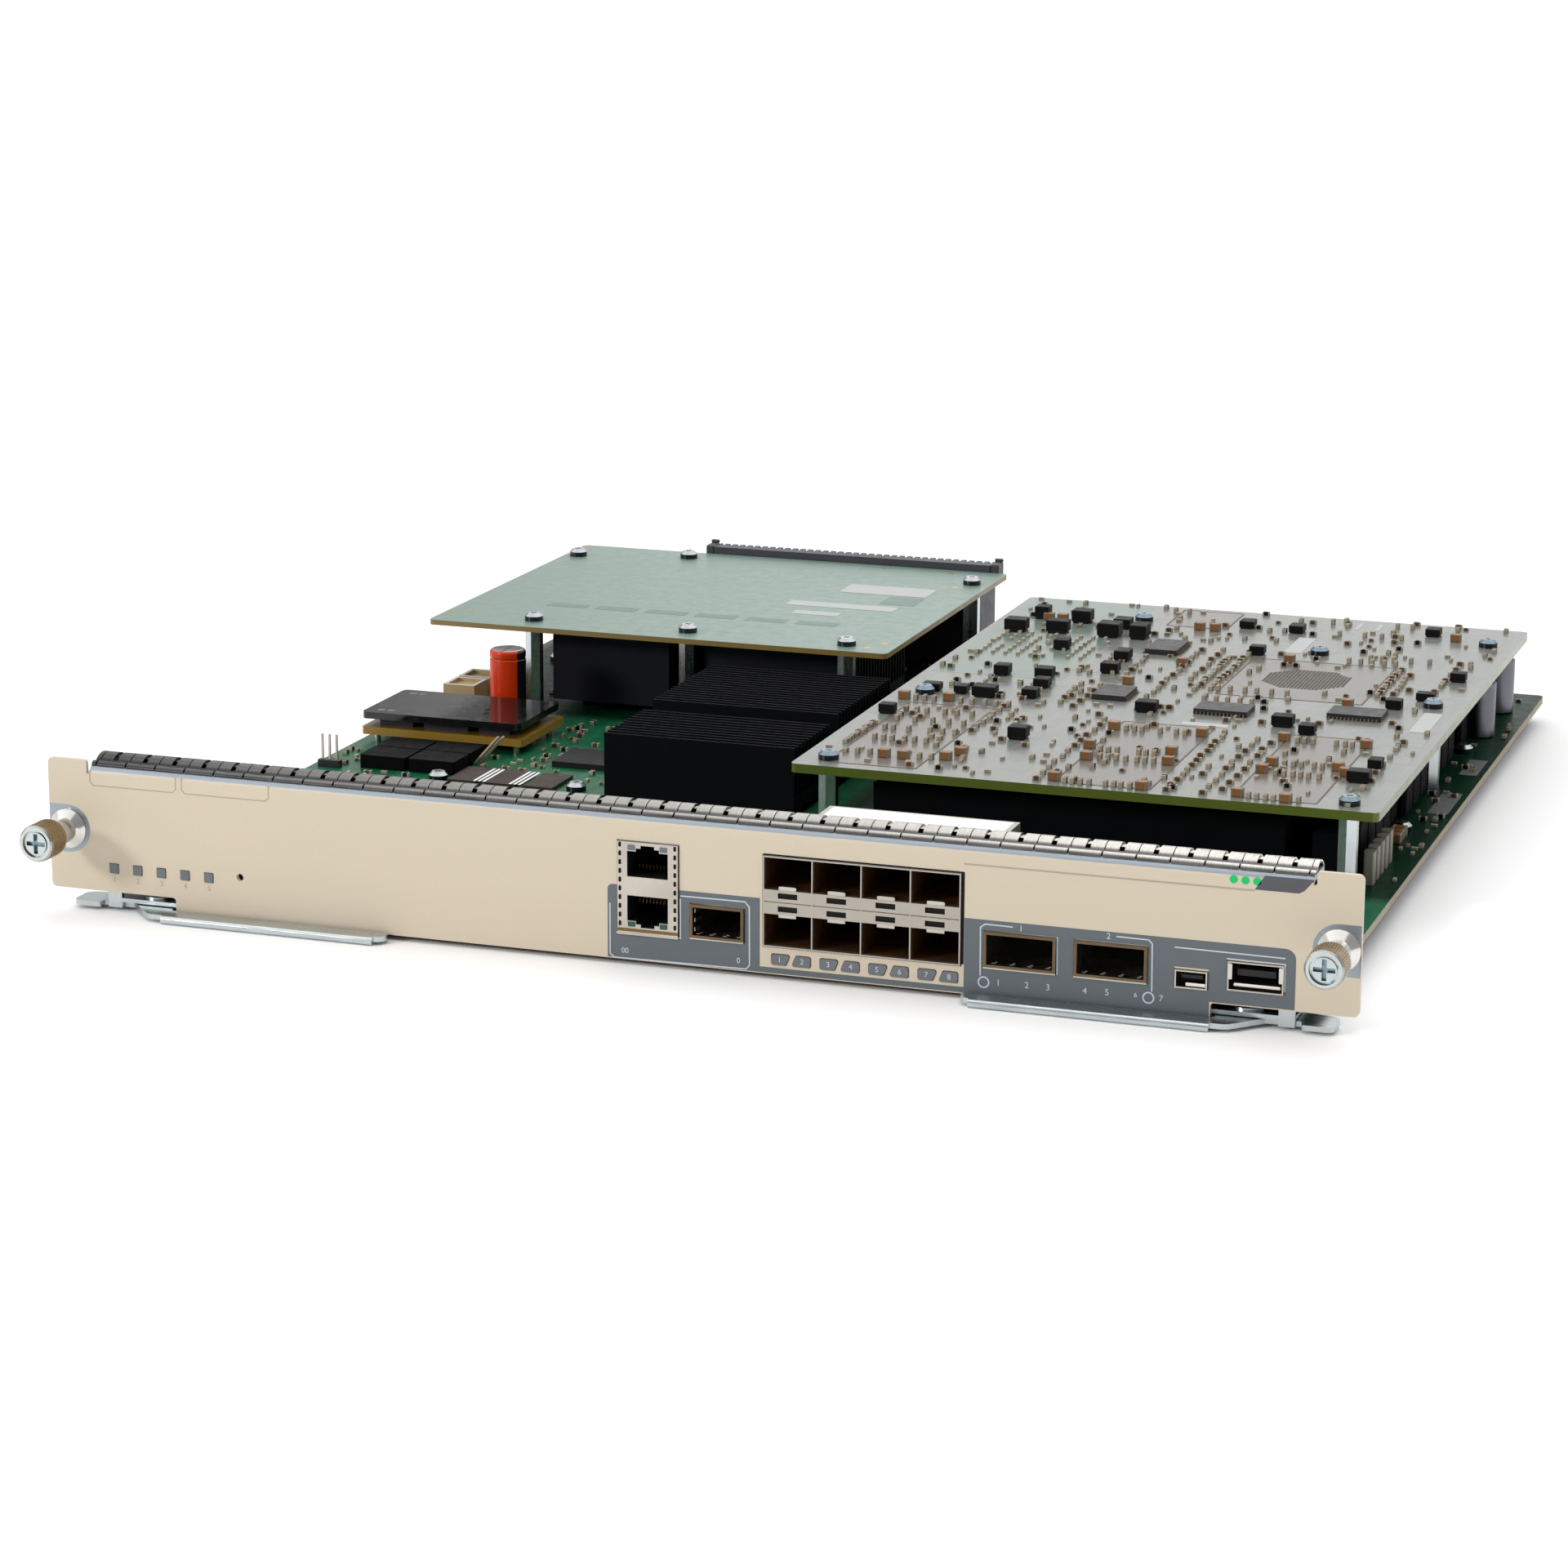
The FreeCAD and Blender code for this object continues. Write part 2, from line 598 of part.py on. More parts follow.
def face_panel():
    half = PANEL_HALF
    low = half - NOTCH_WIDTH
    corners = [(-low, PANEL_BOTTOM, NOTCH_CORNER), (low, PANEL_BOTTOM, NOTCH_CORNER),
               (low, EAR_BOTTOM, NOTCH_CORNER), (half, EAR_BOTTOM, EAR_CORNER),
               (half, EAR_TOP, EAR_CORNER), (BOARD_HALF, EAR_TOP, NOTCH_CORNER)]
    flange_z = FACE_TOP - TOP_BEND_RADIUS
    corners += [(BOARD_HALF, flange_z, 0), (-BOARD_HALF, flange_z, 0)]
    corners += [(-BOARD_HALF, EAR_TOP, NOTCH_CORNER), (-half, EAR_TOP, EAR_CORNER),
                (-half, EAR_BOTTOM, EAR_CORNER), (-low, EAR_BOTTOM, NOTCH_CORNER)]
    sheet = prism_y(corners, (deep(0), deep(PANEL_THICKNESS)))
    # Top flange bends back from the face, bottom flange lies on the tray
    bend = TOP_BEND_RADIUS
    inner = TOP_BEND_RADIUS - PANEL_THICKNESS
    under = FACE_TOP - PANEL_THICKNESS
    top = prism_x([(deep(0), flange_z, 0), (deep(0), FACE_TOP, bend), (deep(TOP_FLANGE_DEPTH), FACE_TOP, 0),
                   (deep(TOP_FLANGE_DEPTH), under, 0), (deep(PANEL_THICKNESS), under, inner),
                   (deep(PANEL_THICKNESS), flange_z, 0)],
                  span(0, 2 * (BOARD_HALF - EAR_GAP)))
    bottom = box(span(0, 2 * (low - BOTTOM_FLANGE_INSET)),
                 (deep(PANEL_THICKNESS / 2), deep(BOTTOM_FLANGE_DEPTH)),
                 (TRAY_TOP, TRAY_TOP + PANEL_THICKNESS))
    # Cut-outs for the ports, the lights, the reset pin and the screw ferrules
    through = (deep(-CUT_REACH), deep(PANEL_THICKNESS + CUT_REACH))
    openings = []
    for x, z in port_frames():
        reach = PORT_CLEARANCE
        openings.append(box((x[0] - reach, x[1] + reach), through, (z[0] - reach, z[1] + reach)))
    status = span(EAR_BOTTOM + STATUS_HEIGHT, STATUS_SIZE + PORT_CLEARANCE)
    for x in STATUS_X:
        hole = rounded(span(x, STATUS_SIZE + PORT_CLEARANCE), status, PORT_CLEARANCE)
        openings.append(prism_y(hole, through))
    for place in port_light_places():
        openings.append(prism_y(port_light_outline(place, PORT_CLEARANCE / 2), through))
    openings.append(rod(V(RESET_X, through[0], EAR_BOTTOM + RESET_HEIGHT), V(0, 1, 0),
                        RESET_HOLE_RADIUS, through[1] - through[0]))
    for x in (-SCREW_X, SCREW_X):
        openings.append(rod(V(x, through[0], SCREW_Z), V(0, 1, 0), ferrule_barrel() + FASTENER_CLEARANCE,
                            through[1] - through[0]))
    return cut(fuse([sheet, top, bottom]), openings)


def ferrule_barrel():
    return SHANK_RADIUS + 3 * RUNNING_CLEARANCE + FERRULE_WALL


# Arched strip along the panel between two depths, its crown midway
def arched(front, back, rise):
    half = BOARD_HALF - EAR_GAP
    crown = (front + back) / 2
    lines = []
    for drop in (0, GASKET_SHEET):
        ends = [V(-half, front + drop, FACE_TOP), V(-half, back - drop, FACE_TOP)]
        lines.append(Part.Arc(ends[0], V(-half, crown, FACE_TOP + rise - drop), ends[1]).toShape())
    for start in (front, back - GASKET_SHEET):
        ends = [V(-half, start, FACE_TOP), V(-half, start + GASKET_SHEET, FACE_TOP)]
        lines.append(Part.LineSegment(ends[0], ends[1]).toShape())
    profile = Part.Wire(Part.__sortEdges__(lines))
    return Part.Face(profile).extrude(V(2 * half, 0, 0))


# Low bead in front, high arch behind it; slits from both sides leave one spine between them
def top_gasket():
    front = deep(GASKET_START)
    back = front + GASKET_DEPTH
    start = front + GASKET_ARCH_START
    bead = arched(front, front + GASKET_BEAD_DEPTH, GASKET_BEAD_RISE)
    strip = fuse([bead, arched(start, back, GASKET_RISE)])
    count = int(2 * (BOARD_HALF - EAR_GAP) / GASKET_PITCH)
    high = (FACE_TOP - CUT_REACH, FACE_TOP + GASKET_RISE + CUT_REACH)
    ahead = (front - CUT_REACH, start)
    behind = (start + GASKET_SPINE, back + CUT_REACH)
    slits = []
    for i in range(count + 1):
        x = (i - count / 2) * GASKET_PITCH
        slits.append(box(span(x, GASKET_FRONT_SLIT), ahead, high))
        slits.append(box(span(x, GASKET_FINE_SLIT), behind, high))
        if i < count:
            slits.append(box(span(x + GASKET_PITCH / 2, GASKET_BACK_SLIT), behind, high))
    return cut(strip, slits)


# Left lever in its own plane: u counts from the pivot towards the panel's middle, v is depth
def lever_solid():
    reach = HANDLE_LENGTH
    nose = deep(0)
    arm = deep(LEVER_PIVOT_DEPTH - CAM_WIDTH / 2 - ARM_SETBACK)
    rear = deep(LEVER_PIVOT_DEPTH) + LEVER_EYE_RADIUS
    front = deep(-HANDLE_STANDOUT)
    grip = deep(-HANDLE_GAP)
    x = -PIVOT_X
    neck = LEVER_EYE_RADIUS + LEVER_NECK
    flat = front + LEVER_LIP_DEPTH / 2
    tip = x - CAM_REACH
    step = tip + CAM_NOSE_WIDTH
    corners = [(x + reach, flat, HANDLE_CORNER), (x + reach, grip, GRIP_CORNER), (x + neck, grip, ARM_CORNER),
               (x + neck, rear, EYE_CORNER), (x - neck, rear, EYE_CORNER), (tip, arm + CAM_WIDTH, CAM_CORNER),
               (tip, nose, NOSE_CORNER), (step, nose, NOSE_STEP_CORNER), (step, arm, NOSE_STEP_CORNER),
               (x - LEVER_EYE_RADIUS, arm, GRIP_CORNER), (x + LEVER_EYE_RADIUS / 2, flat, ELBOW_CORNER)]
    plate = prism_z(corners, (LEVER_BOTTOM, LEVER_TOP))
    # Rounded lip under the front edge of the handle
    back = front + LEVER_LIP_DEPTH
    lip = prism_x([(front, 0, LIP_LOW_ROUND), (back, 0, LIP_BACK_ROUND), (back, LEVER_TOP, 0),
                   (front, LEVER_TOP, LIP_TOP_ROUND)],
                  (x + neck, x + reach - HANDLE_CORNER))
    hole = rod(V(x, deep(LEVER_PIVOT_DEPTH), 0), V(0, 0, 1), PIN_RADIUS + RUNNING_CLEARANCE,
               LEVER_TOP + CUT_REACH)
    return cut(fuse([plate, lip]), [hole])


def bracket_rivet_places():
    inner = -PIVOT_X + LEVER_EYE_RADIUS + BRACKET_REACH + BRACKET_OVERLAP / 2
    outer = -PIVOT_X - LEVER_EYE_RADIUS
    front = deep(BOTTOM_FLANGE_DEPTH + RIVET_SETBACK)
    return [(inner, front), (outer, deep(TRAY_NOTCH_DEPTH + BRACKET_OVERLAP / 2))]


# Left bracket: a plate over the lever, seated on the tray, with a folded tab in front of the cam arm
def bracket_solid():
    left = -PIVOT_X - CAM_REACH + CAM_NOSE_WIDTH + TAB_GAP
    right = -PIVOT_X + LEVER_EYE_RADIUS + BRACKET_REACH + BRACKET_OVERLAP
    inner = -PANEL_HALF + NOTCH_WIDTH + BOTTOM_FLANGE_INSET - BRACKET_GAP
    front = deep(PANEL_THICKNESS)
    step = deep(BOTTOM_FLANGE_DEPTH + BRACKET_GAP)
    back = deep(TRAY_NOTCH_DEPTH + BRACKET_OVERLAP)
    corners = [(left, front, 0), (inner, front, ARM_CORNER), (inner, step, ARM_CORNER),
               (right, step, GRIP_CORNER), (right, back, BRACKET_CORNER), (left, back, BRACKET_CORNER)]
    plate = prism_z(corners, (TRAY_TOP, BRACKET_TOP))
    tab = box((left, left + TAB_WIDTH), (front, front + BRACKET_THICKNESS),
              (LEVER_BOTTOM, EAR_BOTTOM - LEVER_CLEARANCE))
    holes = [rod(V(-PIVOT_X, deep(LEVER_PIVOT_DEPTH), TRAY_BOTTOM), V(0, 0, 1), PIN_RADIUS, SPACER_HEIGHT)]
    holes += bores(bracket_rivet_places(), RIVET_RADIUS, (TRAY_BOTTOM, BRACKET_TOP + CUT_REACH))
    return cut(fuse([plate, tab]), holes)


def pivot_pin():
    base = deep(LEVER_PIVOT_DEPTH)
    low = LEVER_BOTTOM - LEVER_CLEARANCE / 2 - PIN_HEAD_HEIGHT
    top = BRACKET_TOP + PIN_HEAD_HEIGHT
    pieces = [rod(V(-PIVOT_X, base, low), V(0, 0, 1), PIN_HEAD_RADIUS, PIN_HEAD_HEIGHT),
              rod(V(-PIVOT_X, base, low), V(0, 0, 1), PIN_RADIUS, top - low),
              rod(V(-PIVOT_X, base, BRACKET_TOP), V(0, 0, 1), PIN_HEAD_RADIUS, PIN_HEAD_HEIGHT)]
    return fuse(pieces)


def bracket_rivets():
    rivets = []
    for x, y in bracket_rivet_places():
        shank = rod(V(x, y, TRAY_BOTTOM), V(0, 0, 1), RIVET_RADIUS, BRACKET_TOP - TRAY_BOTTOM)
        head = rod(V(x, y, BRACKET_TOP), V(0, 0, 1), RIVET_HEAD_RADIUS, PIN_HEAD_HEIGHT)
        rivets.append(fuse([shank, head]))
    return rivets


def both_sides(shapes):
    return shapes + [mirrored(shape) for shape in shapes]


def screw_ferrule():
    hole = SHANK_RADIUS + 3 * RUNNING_CLEARANCE
    barrel = ferrule_barrel()
    pocket = FERRULE_NECK_RADIUS - FERRULE_WALL
    front = deep(-SCREW_STANDOUT + KNOB_CAP + SCREW_TRAVEL + KNOB_STOP_GAP)
    back = deep(PANEL_THICKNESS)
    ledge = deep(-FERRULE_FLANGE)
    profile = [(pocket, front), (FERRULE_NECK_RADIUS, front), (FERRULE_NECK_RADIUS, ledge - FERRULE_CONE),
               (FERRULE_FLANGE_RADIUS, ledge), (FERRULE_FLANGE_RADIUS, deep(0)), (barrel, deep(0)),
               (barrel, back), (barrel + FERRULE_FLARE, back), (barrel + FERRULE_FLARE, back + FERRULE_FLARE),
               (hole, back + FERRULE_FLARE), (hole, ledge), (pocket, ledge)]
    return turned(profile, -SCREW_X, SCREW_Z)


def clip_front():
    return deep(PANEL_THICKNESS + FERRULE_FLARE + LEVER_CLEARANCE)


def panel_screw():
    front = deep(-SCREW_STANDOUT)
    back = front + KNOB_LENGTH
    seat = front + KNOB_CAP
    bore = KNOB_RADIUS - KNOB_WALL
    groove = clip_front() - RUNNING_CLEARANCE
    tip = groove + CLIP_THICKNESS + 2 * RUNNING_CLEARANCE
    end = tip + THREAD_LENGTH
    edge = SCREW_EDGE
    face = front + FACE_SINK
    ring = front + RING_DEPTH
    profile = [(0, face), (RING_INNER_RADIUS, face), (RING_INNER_RADIUS, ring), (RING_OUTER_RADIUS, ring),
               (RING_OUTER_RADIUS, front), (KNOB_RADIUS - edge, front), (KNOB_RADIUS, front + edge),
               (KNOB_RADIUS, back), (bore, back), (bore, seat), (SHANK_RADIUS, seat), (SHANK_RADIUS, groove),
               (GROOVE_RADIUS, groove), (GROOVE_RADIUS, tip), (THREAD_RADIUS, tip), (THREAD_RADIUS, end),
               (THREAD_RADIUS - edge, end + edge), (0, end + edge)]
    body = turned(profile, -SCREW_X, SCREW_Z)
    arm = KNOB_RADIUS * RECESS_ARM_SHARE
    slot = (front - CUT_REACH, front + RECESS_DEPTH)
    cross = [box(span(-SCREW_X, 2 * arm), slot, span(SCREW_Z, RECESS_WIDTH)),
             box(span(-SCREW_X, RECESS_WIDTH), slot, span(SCREW_Z, 2 * arm))]
    return cut(body, [fuse(cross)])


def screw_clip():
    front = clip_front()
    back = front + CLIP_THICKNESS
    inner = GROOVE_RADIUS + RUNNING_CLEARANCE
    return turned([(inner, front), (CLIP_RADIUS, front), (CLIP_RADIUS, back), (inner, back)],
                  -SCREW_X, SCREW_Z)


def screw_spring():
    front = deep(-SCREW_STANDOUT + KNOB_CAP) + LEVER_CLEARANCE + SPRING_WIRE_RADIUS
    back = deep(-FERRULE_FLANGE) - LEVER_CLEARANCE - SPRING_WIRE_RADIUS
    radius = (SHANK_RADIUS + FERRULE_NECK_RADIUS - FERRULE_WALL) / 2
    height = back - front
    helix = Part.makeHelix(height / SPRING_TURNS, height, radius)
    circle = Part.Circle(V(radius, 0, 0), V(0, 1, 0), SPRING_WIRE_RADIUS).toShape()
    coil = Part.Wire(helix.Edges).makePipeShell([Part.Wire([circle])], True, True)
    coil.rotate(V(0, 0, 0), V(1, 0, 0), -90)
    coil.translate(V(-SCREW_X, front, SCREW_Z))
    return coil


def carrier_tray():
    notch = PIVOT_X - LEVER_EYE_RADIUS - BRACKET_REACH
    front = deep(PANEL_THICKNESS)
    shoulder = deep(TRAY_NOTCH_DEPTH)
    back = deep(BOARD_BACK)
    bend = TRAY_CORNER
    corners = [(-notch, front, 0), (notch, front, 0), (notch, shoulder, bend), (TRAY_HALF, shoulder, bend),
               (TRAY_HALF, back, bend), (-TRAY_HALF, back, bend), (-TRAY_HALF, shoulder, bend),
               (-notch, shoulder, bend)]
    sheet = prism_z(corners, (TRAY_BOTTOM, TRAY_TOP))
    rivets = bracket_rivet_places()
    rivets += [(-x, y) for x, y in rivets]
    through = (TRAY_BOTTOM - CUT_REACH, TRAY_TOP + CUT_REACH)
    holes = bores(rivets, RIVET_RADIUS, through)
    holes += bores(BOARD_PLACES, FASTENER_RADIUS, through)
    return cut(sheet, holes)


def tray_spacers():
    spacers = []
    for x, y in BOARD_PLACES:
        body = rod(V(x, y, TRAY_TOP), V(0, 0, 1), SPACER_RADIUS, SPACER_HEIGHT)
        bore = bores([(x, y)], FASTENER_RADIUS + FASTENER_CLEARANCE,
                     (TRAY_TOP - CUT_REACH, BOARD_BOTTOM + CUT_REACH))
        spacers.append(cut(body, bore))
    return spacers


def board(x, y, z, places):
    corners = rounded(x, y, BOARD_CORNER)
    holes = bores(places, FASTENER_RADIUS + FASTENER_CLEARANCE, (z[0] - CUT_REACH, z[1] + CUT_REACH))
    return cut(prism_z(corners, z), holes)


def main_board():
    return board(span(0, 2 * BOARD_HALF), (deep(BOARD_FRONT), deep(BOARD_BACK)), (BOARD_BOTTOM, BOARD_TOP),
                 BOARD_PLACES)


def right_mezzanine_board():
    y = (deep(RIGHT_BOARD_FRONT), deep(RIGHT_BOARD_BACK))
    return board(right_board_x(), y, (RIGHT_BOARD_BOTTOM, RIGHT_BOARD_BOTTOM + RIGHT_BOARD_THICKNESS),
                 RIGHT_PLACES)


def left_mezzanine_board():
    y = (deep(LEFT_BOARD_FRONT), deep(BOARD_BACK))
    return board(left_board_x(), y, (LEFT_BOARD_BOTTOM, LEFT_BOARD_TOP), LEFT_PLACES)


# Pan-head screws standing in holes: the shank reaches down to the given level
def pan_screws(places, seat, foot):
    screws = []
    dome = FASTENER_HEAD_RADIUS * FASTENER_DOME_SHARE
    for x, y in places:
        shank = rod(V(x, y, foot), V(0, 0, 1), FASTENER_RADIUS, seat - foot)
        head = rod(V(x, y, seat), V(0, 0, 1), FASTENER_HEAD_RADIUS, FASTENER_HEAD_HEIGHT)
        rim = [edge for edge in head.Edges if abs(edge.CenterOfMass.z - seat - FASTENER_HEAD_HEIGHT) < 1e-6]
        screws.append(fuse([shank, head.makeChamfer(dome, rim)]))
    return screws


def hex_posts(places, top):
    posts = []
    for x, y in places:
        points = []
        for i in range(7):
            angle = math.radians(60 * i + 30)
            points.append(V(x + POST_RADIUS * math.cos(angle), y + POST_RADIUS * math.sin(angle), BOARD_TOP))
        body = Part.Face(Part.makePolygon(points)).extrude(V(0, 0, top - BOARD_TOP))
        bore = bores([(x, y)], FASTENER_RADIUS + FASTENER_CLEARANCE,
                     (top - POST_THREAD_DEPTH, top + CUT_REACH))
        posts.append(cut(body, bore))
    return posts


# Shell of a cage: floor, roof, sides and back wall, open at the front
def cage(x_middle, width, height, depth, floor):
    x = span(x_middle, width)
    y = (deep(-CAGE_STANDOUT), deep(depth))
    z = (floor, floor + height)
    wall = CAGE_WALL
    outer = box((x[0] - wall, x[1] + wall), y, (z[0] - wall, z[1] + wall))
    inner = box(x, (y[0] - CUT_REACH, y[1] - wall), z)
    return cut(outer, [inner])


# A cage with two feet that carry it above the board
def seated_cage(x, width, height, depth, floor=PORT_BOTTOM):
    pieces = [cage(x, width, height, depth, floor)]
    for start in (BOARD_FRONT + FOOT_FRONT_GAP, depth - FOOT_BACK_GAP):
        y = (deep(start), deep(start + FOOT_DEPTH))
        pieces.append(box(span(x, width), y, (BOARD_TOP, floor - CAGE_WALL)))
    return fuse(pieces)


def stack_shell():
    width = STACK_WIDTH - 2 * CAGE_WALL
    return seated_cage(STACK_X, width, STACK_HEIGHT, STACK_DEPTH)


def stack_columns():
    left = STACK_X - STACK_WIDTH / 2 + CAGE_WALL / 2
    return [left + STACK_PITCH * k for k in range(STACK_COLUMNS + 1)]


# Shelf blocks between the upper and lower rows, notched for the latches
def stack_shelves():
    walls = stack_columns()
    low = PORT_BOTTOM + STACK_OPENING
    high = low + STACK_SHELF
    y = (deep(-CAGE_STANDOUT), deep(STACK_DEPTH - STACK_CONNECTOR_DEPTH - CAGE_WALL))
    shelves = []
    for k in range(STACK_COLUMNS):
        x = (walls[k] + CAGE_WALL / 2, walls[k + 1] - CAGE_WALL / 2)
        middle = (x[0] + x[1]) / 2
        notch_y = (y[0] - CUT_REACH, y[0] + LATCH_DEPTH)
        windows = []
        for edge, side in ((low, 1), (high, -1)):
            z = sorted((edge + side * LATCH_STRIP, edge + side * (LATCH_STRIP + LATCH_HEIGHT)))
            windows.append(box(span(middle, LATCH_WIDTH), notch_y, z))
        seam = box(x, (y[0] - CUT_REACH, y[0] + SHELF_SEAM_DEPTH), span((low + high) / 2, SHELF_SEAM))
        shelves.append(cut(box(x, y, (low, high)), windows + [seam]))
    return shelves


def stack_dividers():
    y = (deep(-CAGE_STANDOUT), deep(STACK_DEPTH - STACK_CONNECTOR_DEPTH - CAGE_WALL))
    z = (PORT_BOTTOM, PORT_BOTTOM + STACK_HEIGHT)
    return [box(span(x, CAGE_WALL), y, z) for x in stack_columns()[1:-1]]


# Host connector at the back of a cage, with a card slot in its front face at each given level
def host_connector(x_middle, width, height, depth, levels):
    wide = width - 2 * HOST_SIDE_GAP
    back = deep(depth - CAGE_WALL)
    front = back - STACK_CONNECTOR_DEPTH
    body = box(span(x_middle, wide), (front, back), (PORT_BOTTOM, PORT_BOTTOM + height))
    slots = []
    for level in levels:
        slots.append(box(span(x_middle, wide * HOST_SLOT_SHARE), (front - CUT_REACH, front + HOST_SLOT_DEPTH),
                         span(level, HOST_SLOT_HEIGHT)))
    return cut(body, slots)


def cage_connectors():
    walls = stack_columns()
    upper = PORT_BOTTOM + STACK_OPENING + STACK_SHELF
    levels = (PORT_BOTTOM + STACK_OPENING / 2, upper + STACK_OPENING / 2)
    hosts = []
    for k in range(STACK_COLUMNS):
        x = (walls[k] + walls[k + 1]) / 2
        hosts.append(host_connector(x, STACK_PITCH, STACK_HEIGHT, STACK_DEPTH, levels))
    high = MANAGEMENT_HOST_HEIGHT
    level = PORT_BOTTOM + high / 2
    hosts.append(host_connector(MANAGEMENT_X, MANAGEMENT_WIDTH, high, STACK_DEPTH, (level,)))
    level = PORT_BOTTOM + WIDE_HOST_HEIGHT / 2
    for x in (WIDE_LEFT_X, WIDE_RIGHT_X):
        hosts.append(host_connector(x, WIDE_WIDTH, WIDE_HOST_HEIGHT, WIDE_DEPTH, (level,)))
    return hosts


# Hollows of the two sockets: the upper keyed at its top, the lower at its bottom
def jack_sockets(y):
    upper = PORT_BOTTOM + JACK_HEIGHT - CAGE_WALL - JACK_RIM - JACK_KEY_HEIGHT
    lower = PORT_BOTTOM + JACK_SILL + JACK_KEY_HEIGHT
    sockets = []
    for edge, side in ((upper, 1), (lower, -1)):
        for width, reach in ((JACK_PORT_WIDTH, 0), (JACK_STEP_WIDTH, JACK_STEP_HEIGHT),
                             (JACK_KEY_WIDTH, JACK_KEY_HEIGHT)):
            z = sorted((edge - side * JACK_PORT_HEIGHT, edge + side * reach))
            sockets.append(box(span(JACK_X, width), y, z))
    return [fuse(sockets[:3]), fuse(sockets[3:])]


def jack_shield():
    x = span(JACK_X, JACK_WIDTH)
    y = (deep(-CAGE_STANDOUT), deep(JACK_DEPTH))
    z = (BOARD_TOP, PORT_BOTTOM + JACK_HEIGHT)
    wall = CAGE_WALL
    inner = box((x[0] + wall, x[1] - wall), (y[0] + wall, y[1] - wall), (z[0] - CUT_REACH, z[1] - wall))
    return cut(box(x, y, z), [inner] + jack_sockets((y[0] - CUT_REACH, y[0] + 2 * wall)))


# Moulded insert that fills the shield behind its front plate
def jack_insert():
    x = span(JACK_X, JACK_WIDTH - 2 * CAGE_WALL)
    y = (deep(-CAGE_STANDOUT + CAGE_WALL), deep(JACK_DEPTH - CAGE_WALL))
    body = box(x, y, (BOARD_TOP, PORT_BOTTOM + JACK_HEIGHT - CAGE_WALL))
    return cut(body, jack_sockets((y[0] - CUT_REACH, y[0] + JACK_PORT_DEPTH)))


def serial_tongues():
    tongues = []
    for x, width, height, depth, rise in ((USB_X, USB_WIDTH, USB_HEIGHT, USB_DEPTH, USB_RISE),
                                          (MINI_X, MINI_WIDTH, MINI_HEIGHT, MINI_DEPTH, 0)):
        back = deep(depth - CAGE_WALL)
        floor = PORT_BOTTOM + rise
        root = box(span(x, width), (back - TONGUE_ROOT, back), (floor, floor + height))
        blade = box(span(x, width * TONGUE_WIDTH_SHARE), (deep(TONGUE_SETBACK), back - TONGUE_ROOT),
                    span(floor + height * TONGUE_LEVEL_SHARE, height * TONGUE_HEIGHT_SHARE))
        tongues.append(fuse([root, blade]))
    return tongues


def status_lights():
    low = EAR_BOTTOM + STATUS_HEIGHT - STATUS_SIZE / 2
    lights = []
    for x in STATUS_X:
        face = rounded(span(x, STATUS_SIZE), (low, low + STATUS_SIZE), STATUS_CORNER)
        pipe = prism_y(face, (deep(-LIGHT_PROUD), deep(STATUS_DEPTH)))
        leg = box(span(x, STATUS_SIZE), (deep(STATUS_DEPTH - STATUS_SIZE), deep(STATUS_DEPTH)),
                  (BOARD_TOP, low + STATUS_SIZE / 2))
        lights.append(fuse([pipe, leg]))
    return lights


def port_lights():
    y = (deep(-LIGHT_PROUD), deep(PANEL_THICKNESS))
    return [prism_y(port_light_outline(place, 0), y) for place in port_light_places()]


def reset_front():
    return deep(PANEL_THICKNESS + RESET_GAP)


def reset_switch():
    front = reset_front() + RESET_TRAVEL + RESET_GAP
    low = BOARD_TOP
    height = EAR_BOTTOM + RESET_HEIGHT + RESET_BODY / 2
    body = box(span(RESET_X, RESET_BODY), (front, front + RESET_BODY), (low, height))
    bore = rod(V(RESET_X, front - CUT_REACH, EAR_BOTTOM + RESET_HEIGHT), V(0, 1, 0),
               RESET_PLUNGER_RADIUS + RUNNING_CLEARANCE, RESET_BODY / 2 + CUT_REACH)
    return cut(body, [bore])


def reset_plunger():
    front = reset_front()
    back = front + RESET_GAP + RESET_BODY / 2 - LEVER_CLEARANCE
    return rod(V(RESET_X, front, EAR_BOTTOM + RESET_HEIGHT), V(0, 1, 0), RESET_PLUNGER_RADIUS, back - front)


# Heat sink whose fins run across the module, as a comb section pushed along X
def heat_sink(x, depth, foot, height):
    y = (deep(depth[0]), deep(depth[1]))
    count = int((y[1] - y[0] - SINK_FIN) / SINK_PITCH)
    pitch = (y[1] - y[0] - SINK_FIN) / count
    floor = foot + SINK_BASE
    top = foot + height
    body = box(x, y, (foot, top))
    gaps = []
    for i in range(count):
        start = y[0] + pitch * i + SINK_FIN
        gaps.append(box((x[0] - CUT_REACH, x[1] + CUT_REACH), (start, start + pitch - SINK_FIN),
                        (floor, top + CUT_REACH)))
    return cut(body, gaps)


